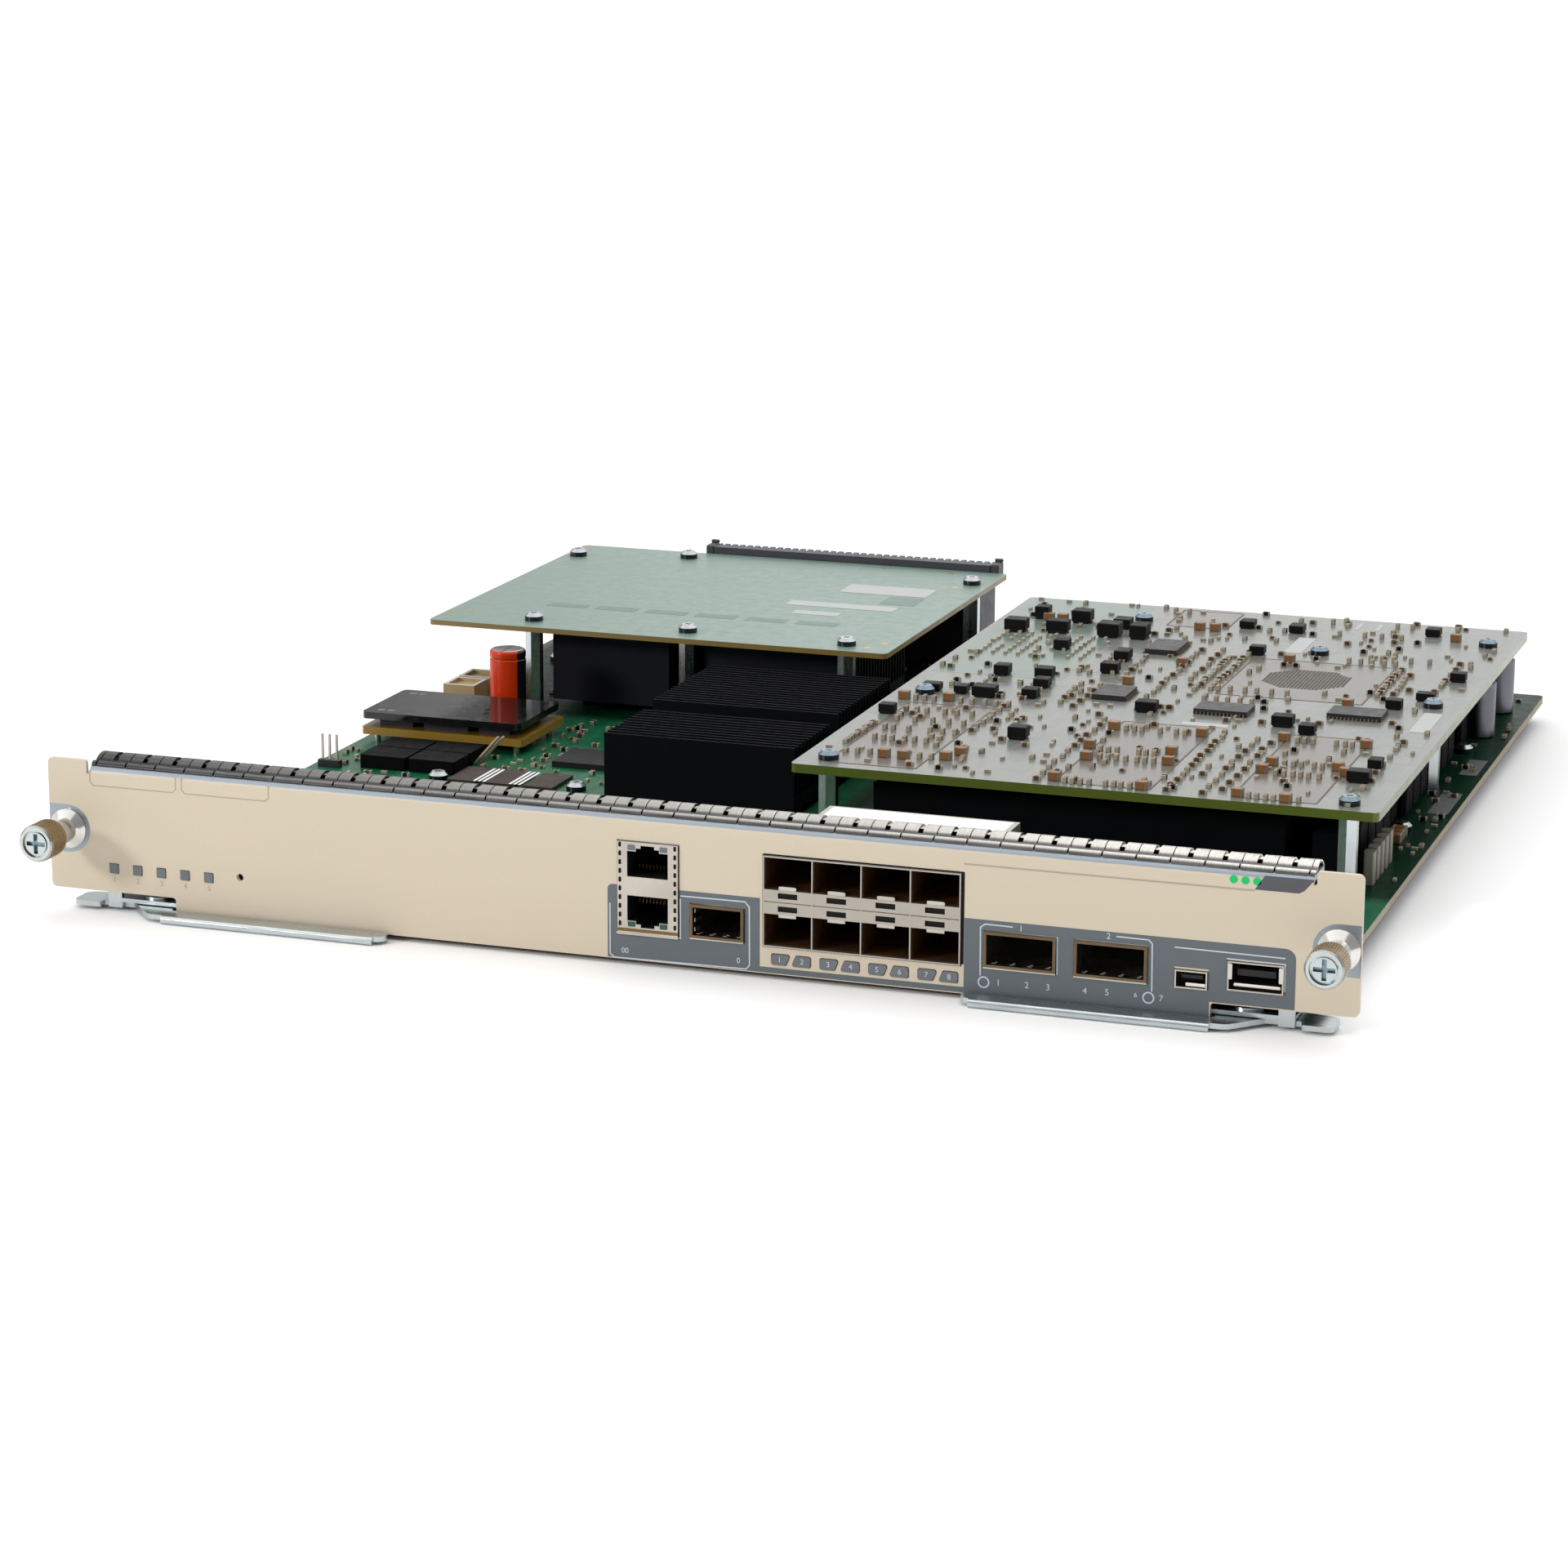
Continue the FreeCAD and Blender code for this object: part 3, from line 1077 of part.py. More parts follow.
def sink_places():
    """Every heat sink as (x span, depth span, height above its chip)."""
    front = (FRONT_SINK_DEPTH_AT, FRONT_SINK_DEPTH_AT + FRONT_SINK_DEPTH)
    middle = (front[1] + MIDDLE_SINK_GAP, front[1] + MIDDLE_SINK_GAP + MIDDLE_SINK_DEPTH)
    x = (SINK_LEFT, SINK_LEFT + SINK_WIDTH)
    rear = LEFT_BOARD_FRONT + REAR_SINK_SETBACK
    rear_span = (rear, rear + REAR_SINK_DEPTH)
    rear_left = left_board_x()[0] + REAR_LEFT_SINK_EDGE
    rear_right = left_board_x()[0] + REAR_RIGHT_SINK_EDGE
    start = right_board_x()[0] + (RIGHT_BOARD_WIDTH - RIGHT_SINK_WIDTH) * RIGHT_SINK_SHARE
    right = RIGHT_BOARD_FRONT + RIGHT_SINK_SETBACK
    tall = REAR_SINK_HEIGHT - SINK_CHIP
    return {
        "front_heat_sink": (x, front, SINK_HEIGHT - SINK_CHIP),
        "middle_heat_sink": (x, middle, SINK_HEIGHT - SINK_CHIP + MIDDLE_SINK_RISE),
        "rear_left_heat_sink": ((rear_left, rear_left + REAR_LEFT_SINK_WIDTH), rear_span, tall),
        "rear_right_heat_sink": ((rear_right, rear_right + REAR_RIGHT_SINK_WIDTH), rear_span, tall),
        "right_heat_sink": ((start, start + RIGHT_SINK_WIDTH), (right, right + RIGHT_SINK_DEPTH),
                            RIGHT_SINK_HEIGHT - SINK_CHIP),
    }


# Chips under the heat sinks, and the bare bridge chip beside the power module
def board_chips():
    chips = [bridge_chip()]
    for x, depth, height in sink_places().values():
        inset = SINK_CHIP_INSET
        chips.append(box((x[0] + inset, x[1] - inset), (deep(depth[0] + inset), deep(depth[1] - inset)),
                         (BOARD_TOP, BOARD_TOP + SINK_CHIP)))
    return chips


def module_x():
    left = -BOARD_HALF + MODULE_EDGE
    return (left, left + MODULE_WIDTH)


def module_y():
    return (deep(MODULE_FRONT), deep(MODULE_FRONT + MODULE_DEPTH))


def module_board():
    low = BOARD_TOP + MODULE_PIN
    return prism_z(rounded(module_x(), module_y(), MODULE_BOARD_CORNER), (low, low + MODULE_BOARD))


def module_plate():
    low = BOARD_TOP + MODULE_PIN + MODULE_BOARD + MODULE_SPACE
    x = module_x()
    y = module_y()
    inset = MODULE_PLATE_INSET
    corners = rounded((x[0], x[1] - inset), (y[0], y[1] - inset), MODULE_PLATE_CORNER)
    return prism_z(corners, (low, low + MODULE_PLATE))


def module_pins():
    x = module_x()
    y = module_y()
    inset = MODULE_PIN_INSET
    pins = []
    for px in (x[0] + inset, x[1] - inset):
        for py in (y[0] + inset, sum(y) / 2, y[1] - inset):
            pins.append(rod(V(px, py, BOARD_TOP), V(0, 0, 1), MODULE_PIN_RADIUS, MODULE_PIN))
    return pins


# Cores and chokes between the module's board and its cover plate
def module_cores():
    low = BOARD_TOP + MODULE_PIN + MODULE_BOARD
    left = module_x()[0]
    y = (module_y()[0] + CORE_FRONT_GAP, module_y()[1] - CORE_BACK_GAP)
    cores = []
    for start, width in MODULE_CORES:
        cores.append(box((left + start, left + start + width), y, (low, low + MODULE_SPACE)))
    return cores


def bulk_capacitor():
    x = module_x()[0] + MODULE_WIDTH * BULK_SHARE
    y = module_y()[1] + BULK_GAP + BULK_RADIUS
    can = rod(V(x, y, BOARD_TOP), V(0, 0, 1), BULK_RADIUS, BULK_HEIGHT)
    level = BOARD_TOP + BULK_HEIGHT - BULK_GROOVE_DROP
    groove = Part.makeTorus(BULK_RADIUS + BULK_GROOVE, 2 * BULK_GROOVE, V(x, y, level))
    rims = [edge for edge in can.Edges if len(edge.Vertexes) == 1]
    return cut(can.makeFillet(BULK_EDGE, rims), [groove])


def board_headers():
    x = module_x()[0] + HEADER_EDGE
    y = module_y()[1] + HEADER_GAP
    top = BOARD_TOP + HEADER_HEIGHT
    wall = HEADER_WALL
    headers = []
    for i in range(HEADER_COUNT):
        front = y + (HEADER_DEPTH + HEADER_SPACING) * i
        body = box((x, x + HEADER_WIDTH), (front, front + HEADER_DEPTH), (BOARD_TOP, top))
        well = box((x + wall, x + HEADER_WIDTH - wall), (front + wall, front + HEADER_DEPTH - wall),
                   (top - wall, top + CUT_REACH))
        headers.append(cut(body, [well]))
    return headers


def converter_blocks():
    blocks = []
    for i in range(2):
        for j in range(2):
            left = SINK_LEFT - CONVERTER_TO_SINK + CONVERTER_PITCH * i
            front = deep(MODULE_FRONT - CONVERTER_AHEAD + (CONVERTER_DEPTH + CONVERTER_ROW_GAP) * j)
            sides = (left, left + CONVERTER_SIZE)
            corners = rounded(sides, (front, front + CONVERTER_DEPTH), CONVERTER_CORNER)
            blocks.append(prism_z(corners, (BOARD_TOP, BOARD_TOP + CONVERTER_HEIGHT)))
    return blocks


def memory_chips():
    y = deep(MODULE_FRONT - MEMORY_AHEAD)
    z = (BOARD_TOP, BOARD_TOP + MEMORY_HEIGHT)
    chips = []
    for i in range(MEMORY_COUNT):
        middle = SINK_LEFT - MEMORY_TO_SINK + MEMORY_PITCH * i
        chips.append(box(span(middle, MEMORY_WIDTH), (y, y + MEMORY_DEPTH), z))
    return chips


# Chip midway between the power module and the sinks
def bridge_chip():
    x = (module_x()[1] + SINK_LEFT) / 2
    y = deep(MODULE_FRONT)
    corners = rounded(span(x, BRIDGE_SIZE), span(y, BRIDGE_SIZE), BRIDGE_CORNER)
    return prism_z(corners, (BOARD_TOP, BOARD_TOP + BRIDGE_HEIGHT))


def pin_header():
    x = -BOARD_HALF + PIN_EDGE
    y = deep(MODULE_FRONT - PIN_AHEAD)
    ends = (x - PIN_PITCH / 2, x + PIN_PITCH * (PIN_COUNT - 1) + PIN_PITCH / 2)
    pieces = [box(ends, span(y, PIN_PITCH), (BOARD_TOP, BOARD_TOP + PIN_BASE))]
    for i in range(PIN_COUNT):
        pieces.append(box(span(x + PIN_PITCH * i, PIN_WIDTH), span(y, PIN_WIDTH),
                          (BOARD_TOP, BOARD_TOP + PIN_HEIGHT)))
    return fuse(pieces)


def edge_chokes():
    x = BOARD_HALF - CHOKE_EDGE
    y = deep(RIGHT_BOARD_FRONT + CHOKE_START)
    chokes = []
    for i in range(CHOKE_COUNT):
        front = y + CHOKE_PITCH * i
        corners = rounded((x, x + CHOKE_WIDTH), (front, front + CHOKE_DEPTH), CHOKE_CORNER)
        chokes.append(prism_z(corners, (BOARD_TOP, BOARD_TOP + CHOKE_HEIGHT)))
    return chokes


def edge_cans():
    cans = []
    for setback in CAN_SETBACKS:
        foot = V(BOARD_HALF - CAN_EDGE, deep(RIGHT_BOARD_BACK - setback), BOARD_TOP)
        can = rod(foot, V(0, 0, 1), CAN_RADIUS, CAN_HEIGHT)
        rims = [edge for edge in can.Edges if len(edge.Vertexes) == 1]
        cans.append(can.makeFillet(CAN_ROUND, rims))
    return cans


def tall_connector_x():
    return (left_board_x()[0] + TALL_LEFT_GAP, left_board_x()[1] - TALL_RIGHT_GAP)


def low_connector_x():
    return (right_board_x()[0] + LOW_LEFT_GAP, right_board_x()[1] - LOW_RIGHT_GAP)


# Slots between the wafers of a backplane connector, cut into its rear face
def wafer_slots(x, rear, pitch, depth, z):
    count = int((x[1] - x[0]) / pitch)
    step = (x[1] - x[0]) / count
    slots = []
    for i in range(count):
        wide = span(x[0] + step * (i + 0.5), step * WAFER_SHARE)
        slots.append(box(wide, (rear - depth, rear + CUT_REACH), z))
    return slots


# Tall backplane connector: a body under the left raised board with a comb of wafers behind its edge
def tall_connector():
    x = tall_connector_x()
    gap = LEVER_CLEARANCE
    rear = deep(BOARD_BACK + CONNECTOR_OVERHANG)
    top = LEFT_BOARD_TOP + TALL_RISE
    body = box(x, (deep(BOARD_BACK - TALL_DEPTH), rear), (BOARD_TOP, LEFT_BOARD_BOTTOM - gap))
    comb = box(x, (deep(BOARD_BACK) + gap, rear), (BOARD_TOP, top))
    slots = wafer_slots(x, rear, WAFER_PITCH, WAFER_DEPTH, (BOARD_TOP + WAFER_FLOOR, top + CUT_REACH))
    return cut(fuse([body, comb]), slots)


def low_connector():
    x = low_connector_x()
    rear = deep(BOARD_BACK + CONNECTOR_OVERHANG)
    top = BOARD_TOP + LOW_HEIGHT
    body = box(x, (deep(BOARD_BACK - LOW_DEPTH), rear), (BOARD_TOP, top))
    z = (BOARD_TOP + WAFER_FLOOR, top - WAFER_FLOOR)
    slots = wafer_slots(x, rear, LOW_WAFER_PITCH, LOW_WAFER_DEPTH, z)
    return cut(body, slots)


# Connectors that join the raised boards to the main board
def board_links():
    left, right = right_board_x()
    y = deep(RIGHT_BOARD_BACK - LINK_SETBACK)
    end = left + RIGHT_LINK_START + RIGHT_LINK_WIDTH
    links = []
    for x in ((left + RIGHT_LINK_START, end), (end + RIGHT_LINK_SPACE, right - RIGHT_LINK_END)):
        links.append(box(x, (y, y + LINK_DEPTH), (BOARD_TOP, RIGHT_BOARD_BOTTOM)))
    left, right = left_board_x()
    y = deep(BOARD_BACK - LINK_SETBACK)
    links.append(box((left + LEFT_LINK_GAP, right - LEFT_LINK_GAP), (y, y + LINK_DEPTH),
                     (BOARD_TOP, LEFT_BOARD_BOTTOM)))
    return links


def right_mezzanine_chips():
    low = RIGHT_BOARD_BOTTOM + RIGHT_BOARD_THICKNESS
    chips = []
    for edge, depth, width, length in RIGHT_CHIPS:
        x = span(right_board_x()[1] - edge, width)
        y = span(deep(RIGHT_BOARD_FRONT + depth), length)
        chips.append(box(x, y, (low, low + RIGHT_CHIP_HEIGHT)))
    return chips


def save(name, shapes):
    """Write one node; several solids go into one file as a group."""
    whole = Part.makeCompound(shapes) if len(shapes) > 1 else shapes[0]
    if not whole.isValid():
        raise RuntimeError(name + " is not a valid solid")
    whole.exportStep("parts/" + name + ".step")
    print(name, len(whole.Solids), round(whole.Volume, 1))


def main():
    os.makedirs("parts", exist_ok=True)
    right_top = RIGHT_BOARD_BOTTOM + RIGHT_BOARD_THICKNESS
    save("face_panel", [face_panel()])
    save("top_gasket", [top_gasket()])
    save("left_lever", [lever_solid()])
    save("right_lever", [mirrored(lever_solid())])
    save("lever_brackets", both_sides([bracket_solid()]))
    save("lever_pivot_pins", both_sides([pivot_pin()]))
    save("bracket_rivets", both_sides(bracket_rivets()))
    save("screw_ferrules", both_sides([screw_ferrule()]))
    for side, turn in (("left", lambda shape: shape), ("right", mirrored)):
        save(side + "_panel_screw", [turn(panel_screw())])
        save(side + "_screw_clip", [turn(screw_clip())])
        save(side + "_screw_spring", [turn(screw_spring())])
    save("carrier_tray", [carrier_tray()])
    save("tray_spacers", tray_spacers())
    save("main_board", [main_board()])
    save("board_screws", pan_screws(BOARD_PLACES, BOARD_TOP, TRAY_BOTTOM))
    save("right_mezzanine_board", [right_mezzanine_board()])
    save("right_mezzanine_posts", hex_posts(RIGHT_PLACES, RIGHT_BOARD_BOTTOM))
    foot = RIGHT_BOARD_BOTTOM - POST_SCREW_REACH
    save("right_mezzanine_screws", pan_screws(RIGHT_PLACES, right_top, foot))
    save("right_mezzanine_chips", right_mezzanine_chips())
    save("left_mezzanine_board", [left_mezzanine_board()])
    save("left_mezzanine_posts", hex_posts(LEFT_PLACES, LEFT_BOARD_BOTTOM))
    foot = LEFT_BOARD_BOTTOM - POST_SCREW_REACH
    save("left_mezzanine_screws", pan_screws(LEFT_PLACES, LEFT_BOARD_TOP, foot))
    save("board_links", board_links())
    save("tall_backplane_connector", [tall_connector()])
    save("low_backplane_connector", [low_connector()])
    save("jack_shield", [jack_shield()])
    save("jack_insert", [jack_insert()])
    save("management_cage", [seated_cage(MANAGEMENT_X, MANAGEMENT_WIDTH, MANAGEMENT_HEIGHT, STACK_DEPTH)])
    wide = [seated_cage(x, WIDE_WIDTH, WIDE_HEIGHT, WIDE_DEPTH) for x in (WIDE_LEFT_X, WIDE_RIGHT_X)]
    save("wide_cages", wide)
    save("stack_shell", [stack_shell()])
    save("stack_dividers", stack_dividers())
    save("stack_shelves", stack_shelves())
    save("cage_connectors", cage_connectors())
    save("serial_shells", [seated_cage(USB_X, USB_WIDTH, USB_HEIGHT, USB_DEPTH, PORT_BOTTOM + USB_RISE),
                           seated_cage(MINI_X, MINI_WIDTH, MINI_HEIGHT, MINI_DEPTH)])
    save("serial_tongues", serial_tongues())
    save("status_lights", status_lights())
    save("port_lights", port_lights())
    save("reset_switch", [reset_switch()])
    save("reset_plunger", [reset_plunger()])
    for name, (x, depth, height) in sink_places().items():
        save(name, [heat_sink(x, depth, BOARD_TOP + SINK_CHIP, height)])
    save("board_chips", board_chips())
    save("power_module_board", [module_board()])
    save("power_module_plate", [module_plate()])
    save("power_module_pins", module_pins())
    save("power_module_cores", module_cores())
    save("bulk_capacitor", [bulk_capacitor()])
    save("board_headers", board_headers())
    save("converter_blocks", converter_blocks())
    save("memory_chips", memory_chips())
    save("pin_header", [pin_header()])
    save("edge_chokes", edge_chokes())
    save("edge_cans", edge_cans())


main()
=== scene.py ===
"""Looks of a chassis supervisor module: finishes, prints, board parts and a studio stage."""

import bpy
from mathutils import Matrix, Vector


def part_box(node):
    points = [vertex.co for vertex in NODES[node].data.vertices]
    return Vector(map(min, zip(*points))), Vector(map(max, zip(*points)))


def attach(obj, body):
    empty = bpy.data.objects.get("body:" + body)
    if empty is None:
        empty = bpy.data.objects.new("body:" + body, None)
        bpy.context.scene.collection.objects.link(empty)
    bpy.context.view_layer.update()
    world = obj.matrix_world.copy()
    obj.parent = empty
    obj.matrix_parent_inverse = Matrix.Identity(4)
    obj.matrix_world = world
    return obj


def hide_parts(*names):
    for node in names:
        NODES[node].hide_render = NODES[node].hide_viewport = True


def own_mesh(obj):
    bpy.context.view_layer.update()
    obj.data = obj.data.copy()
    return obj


bl_info = {
    "name": "Supervisor Module Looks",
    "version": (1, 0, 0),
    "blender": (4, 5, 0),
    "location": "3D View > Sidebar > Module",
    "description": "Dresses the packed supervisor module with finishes, prints and board parts",
    "category": "Object",
}

import math
import random

import bmesh
import bpy
from bpy.props import FloatProperty, FloatVectorProperty, IntProperty, PointerProperty
from mathutils import Matrix, Vector

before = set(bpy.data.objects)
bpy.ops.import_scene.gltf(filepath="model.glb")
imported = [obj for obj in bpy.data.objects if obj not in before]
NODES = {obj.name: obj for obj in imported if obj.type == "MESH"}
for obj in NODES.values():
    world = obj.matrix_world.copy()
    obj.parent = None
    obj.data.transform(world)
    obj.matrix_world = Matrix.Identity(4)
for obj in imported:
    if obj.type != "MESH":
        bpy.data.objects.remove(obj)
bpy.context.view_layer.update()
MM = 0.001
QUARTER = math.pi / 2


def edges(node):
    """Lowest and highest corner of a CAD node in millimetres."""
    low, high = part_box(node)
    return low / MM, high / MM


def middle(node):
    """Middle of a CAD node's box in millimetres."""
    low, high = edges(node)
    return (low + high) / 2


# Planes and places read from the frame, in millimetres
PANEL_LOW, PANEL_HIGH = edges("face_panel")
RIGHT_LOW, RIGHT_HIGH = edges("right_mezzanine_board")
LEFT_LOW, LEFT_HIGH = edges("left_mezzanine_board")
JACK_LOW, JACK_HIGH = edges("jack_shield")
MANAGEMENT_LOW, MANAGEMENT_HIGH = edges("management_cage")
STACK_LOW, STACK_HIGH = edges("stack_shell")
WIDE_LOW, WIDE_HIGH = edges("wide_cages")
SERIAL_LOW, SERIAL_HIGH = edges("serial_shells")
GASKET_LOW, GASKET_HIGH = edges("top_gasket")
FRONT = PANEL_LOW.y
BOARD_TOP = edges("main_board")[1].z

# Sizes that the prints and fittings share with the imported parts, in millimetres
EAR_LOW = PANEL_LOW.z + 4.5
PORT_LOW = MANAGEMENT_LOW.z + 1.0
BEND = 1.3
SHEET = 1.5
WIDE_CAGE = 20.4
SERIAL_SHELL = 15.4
SMALL_SHELL = 9.0
# Left side, right side and top of the single cages
CAGES = [(MANAGEMENT_LOW.x, MANAGEMENT_HIGH.x, MANAGEMENT_HIGH.z),
         (WIDE_LOW.x, WIDE_LOW.x + WIDE_CAGE, WIDE_HIGH.z),
         (WIDE_HIGH.x - WIDE_CAGE, WIDE_HIGH.x, WIDE_HIGH.z)]


def linear(red, green, blue):
    """Linear colour of eight-bit screen values."""
    def one(value):
        share = value / 255
        return share / 12.92 if share <= 0.04045 else ((share + 0.055) / 1.055) ** 2.4
    return (one(red), one(green), one(blue), 1.0)


def tint(text, words, *rgb):
    """Colour setting from screen values."""
    return FloatVectorProperty(name=text, description=words, subtype="COLOR", size=4,
                               default=linear(*rgb), min=0.0, max=1.0)


def length(text, words, millimetres):
    """Length setting in scene units."""
    return FloatProperty(name=text, description=words, default=millimetres * MM, unit="LENGTH")


def angle(text, words, degrees):
    """Angle setting."""
    return FloatProperty(name=text, description=words, default=math.radians(degrees),
                         subtype="ANGLE")


def amount(text, words, value, **limits):
    """Plain setting from nought up."""
    return FloatProperty(name=text, description=words, default=value, min=0.0, **limits)


def number(text, words, value, least):
    """Setting in whole numbers."""
    return IntProperty(name=text, description=words, default=value, min=least)


class ModuleFinishes(bpy.types.PropertyGroup):
    """Colours that a user would change."""
    paint: tint("Panel paint", "Champagne paint of the face panel", 207, 194, 173)
    print_grey: tint("Grey print", "Printed field round the ports", 95, 102, 106)
    print_pale: tint("Pale print", "Thin lines and numerals on the grey field", 196, 203, 210)
    print_brown: tint("Brown print", "Thin lines on the champagne paint", 172, 160, 142)
    accent: tint("Accent", "Three dots at the panel's upper right", 0, 190, 100)
    zinc: tint("Zinc plate", "Levers, brackets and posts", 205, 212, 214)
    nickel: tint("Nickel plate", "Captive screws", 226, 224, 220)
    spring: tint("Spring strip", "Finger gasket", 208, 205, 198)
    cage: tint("Cage steel", "Transceiver cages and shields", 196, 190, 178)
    main_mask: tint("Main board", "Solder mask of the main board", 10, 84, 54)
    right_mask: tint("Right board", "Solder mask of the right raised board", 115, 118, 113)
    left_mask: tint("Left board", "Solder mask of the left raised board", 110, 133, 123)
    sleeve: tint("Capacitor sleeve", "Shrunk sleeve of the bulk capacitor", 200, 52, 8)


class ModuleSizes(bpy.types.PropertyGroup):
    """Sizes that a user would change."""
    fine_line: length("Fine line", "Width of the pale lines on the grey field", 0.35)
    brown_line: length("Brown line", "Width of the lines on the champagne paint", 0.3)
    numeral: length("Numeral", "Height of the numerals at the lights", 2.2)
    spring_wire: length("Spring wire", "Radius of the captive screws' spring wire", 0.3)
    thread_pitch: length("Thread pitch", "Step of the captive screws' thread", 0.7)
    spring_turns: number("Spring turns", "Turns of the captive screws' springs", 7, 2)
    knurl_ridges: number("Knurl ridges", "Ridges round a captive screw's knob", 48, 8)


class ModuleStage(bpy.types.PropertyGroup):
    """Camera and light that a user would change."""
    eye: FloatVectorProperty(name="Eye", description="Camera position", subtype="TRANSLATION",
                             size=3, default=(0.3926, -1.2435, 0.3340))
    yaw: angle("Yaw", "Turn of the camera to its left", 18.86)
    pitch: angle("Pitch", "Tilt of the camera downwards", 14.01)
    roll: angle("Roll", "Roll of the camera", 0.26)
    lens: amount("Lens", "Focal length in millimetres", 95.3)
    sky: amount("Sky", "Brightness of the white surround", 1.1)
    dusk: amount("Dusk", "Share of the sky's light behind the camera", 0.33, max=1.0)
    corner: amount("Corner", "Share of the sky's light beyond the rear left corner", 0.3, max=1.0)
    right: amount("Right", "Share of the sky's light on the module's right", 0.8, max=1.0)
    tent: amount("Tent", "Strength of the soft light from above", 1.55)
    key: amount("Key", "Power of the key softbox in watts", 47.0)


class Graph:
    """Short ways to add nodes to a shader tree."""

    def __init__(self, tree):
        self.nodes = tree.nodes
        self.links = tree.links

    def put(self, socket, value):
        """Links a socket to another one, or sets its value."""
        if isinstance(value, bpy.types.NodeSocket):
            self.links.new(value, socket)
        else:
            socket.default_value = value

    def node(self, kind, values=(), **settings):
        made = self.nodes.new(kind)
        for word, value in settings.items():
            setattr(made, word, value)
        for key, value in dict(values).items():
            self.put(made.inputs[key], value)
        return made

    def limits(self, value, low, high, start=0.0, end=1.0, **settings):
        """Value between low and high spread over start to end."""
        values = {"Value": value, "From Min": low, "From Max": high, "To Min": start, "To Max": end}
        return self.node("ShaderNodeMapRange", values, **settings).outputs["Result"]

    def maths(self, operation, first, second=0.0):
        return self.node("ShaderNodeMath", {0: first, 1: second}, operation=operation).outputs[0]

    def times(self, first, second):
        return self.maths("MULTIPLY", first, second)

    def part(self, word, source):
        """One part of a vector, by its axis."""
        return self.node("ShaderNodeSeparateXYZ", {0: source}).outputs[word]


class Finish(Graph):
    """One procedural finish: a Principled shader fed by patterns on Object coordinates."""

    def __init__(self, name, **sockets):
        self.material = bpy.data.materials.new(name)
        self.material.use_nodes = True
        super().__init__(self.material.node_tree)
        self.shader = self.nodes["Principled BSDF"]
        self.where = self.node("ShaderNodeTexCoord").outputs["Object"]
        for word, value in sockets.items():
            self.feed(word.replace("_", " "), value)

    def feed(self, word, value):
        self.put(self.shader.inputs[word], value)

    def scaled(self, grain):
        """Object coordinates counted in grains of (x, y, z) millimetres."""
        sizes = grain if isinstance(grain, tuple) else (grain, grain, grain)
        values = {"Vector": self.where, "Scale": tuple(1 / (size * MM) for size in sizes)}
        return self.node("ShaderNodeMapping", values).outputs["Vector"]

    def noise(self, grain, detail=2.0):
        values = {"Vector": self.scaled(grain), "Scale": 1.0, "Detail": detail}
        return self.node("ShaderNodeTexNoise", values).outputs["Fac"]

    def wave(self, grain, direction):
        values = {"Vector": self.scaled(grain), "Scale": 1.0}
        return self.node("ShaderNodeTexWave", values, bands_direction=direction).outputs["Fac"]

    def mix(self, share, first, second):
        values = {0: share, 6: first, 7: second}
        return self.node("ShaderNodeMix", values, data_type="RGBA").outputs[2]

    def clouds(self, grain, colour, low, high=1.0):
        """A colour that wanders between a darker and a lighter shade of itself."""
        return self.mix(self.noise(grain), shade(colour, low), shade(colour, high))

    def gloss(self, grain, low, high, spread=0.2):
        """Roughness that wanders between two values."""
        soft = self.limits(self.noise(grain), 0.5 - spread, 0.5 + spread, low, high)
        self.feed("Roughness", soft)

    def axis(self, word):
        return self.part(word, self.where)

    def ramp(self, word, low, high, start=0.0, end=1.0):
        """Start to end between two planes across an axis, in millimetres."""
        return self.limits(self.axis(word), low * MM, high * MM, start, end)

    def away(self, word, place):
        """Distance from a plane across an axis."""
        return self.maths("ABSOLUTE", self.maths("SUBTRACT", self.axis(word), place * MM))

    def facing(self, word):
        """Share of the surface's normal along an axis of the module."""
        return self.part(word, self.node("ShaderNodeNewGeometry").outputs["Normal"])

    def bump(self, height, rise, strength):
        """Relief of the given rise in millimetres."""
        values = {"Height": height, "Distance": rise * MM, "Strength": strength}
        self.feed("Normal", self.node("ShaderNodeBump", values).outputs["Normal"])


def shade(colour, factor):
    """The same colour, darker or lighter."""
    return tuple(min(1.0, value * factor) for value in colour[:3]) + (1.0,)


def powder(made, colour):
    """Colour of a fine powder coat with a faint cloudiness; its grain is added as relief."""
    made.bump(made.noise(0.5, 3.0), 0.02, 0.35)
    speckle = made.limits(made.noise(0.35, 3.0), 0.3, 0.7)
    return made.mix(speckle, shade(colour, 0.95), made.clouds(60.0, colour, 0.96, 1.03))


def painted(name, colour, roughness=0.5):
    """Fine powder coat or print."""
    made = Finish(name, Specular_IOR_Level=0.35)
    made.feed("Base Color", powder(made, colour))
    made.gloss(5.0, roughness - 0.05, roughness + 0.07, 0.3)
    return made.material


def panel_paint(name, colour, bare):
    """Powder coat that ends at the bend, where the bare sheet shows."""
    made = Finish(name, Specular_IOR_Level=0.35)
    uneven = made.limits(made.noise(8.0), 0.3, 0.7, 0.0, 0.15 * MM)
    height = made.maths("ADD", made.axis("Z"), uneven)
    bend, end = GASKET_LOW.z - BEND, GASKET_HIGH.x
    above = made.limits(height, bend * MM, (bend + 0.25) * MM)
    inside = made.limits(made.maths("ABSOLUTE", made.axis("X")), (end + 0.3) * MM, end * MM)
    behind = made.ramp("Y", FRONT + SHEET - 0.05, FRONT + SHEET + 0.05)
    metal = made.maths("MAXIMUM", made.times(above, inside), behind)
    made.feed("Base Color", made.mix(metal, powder(made, colour), bare))
    made.feed("Metallic", made.times(metal, 0.75))
    made.gloss(5.0, 0.42, 0.56, 0.3)
    return made.material


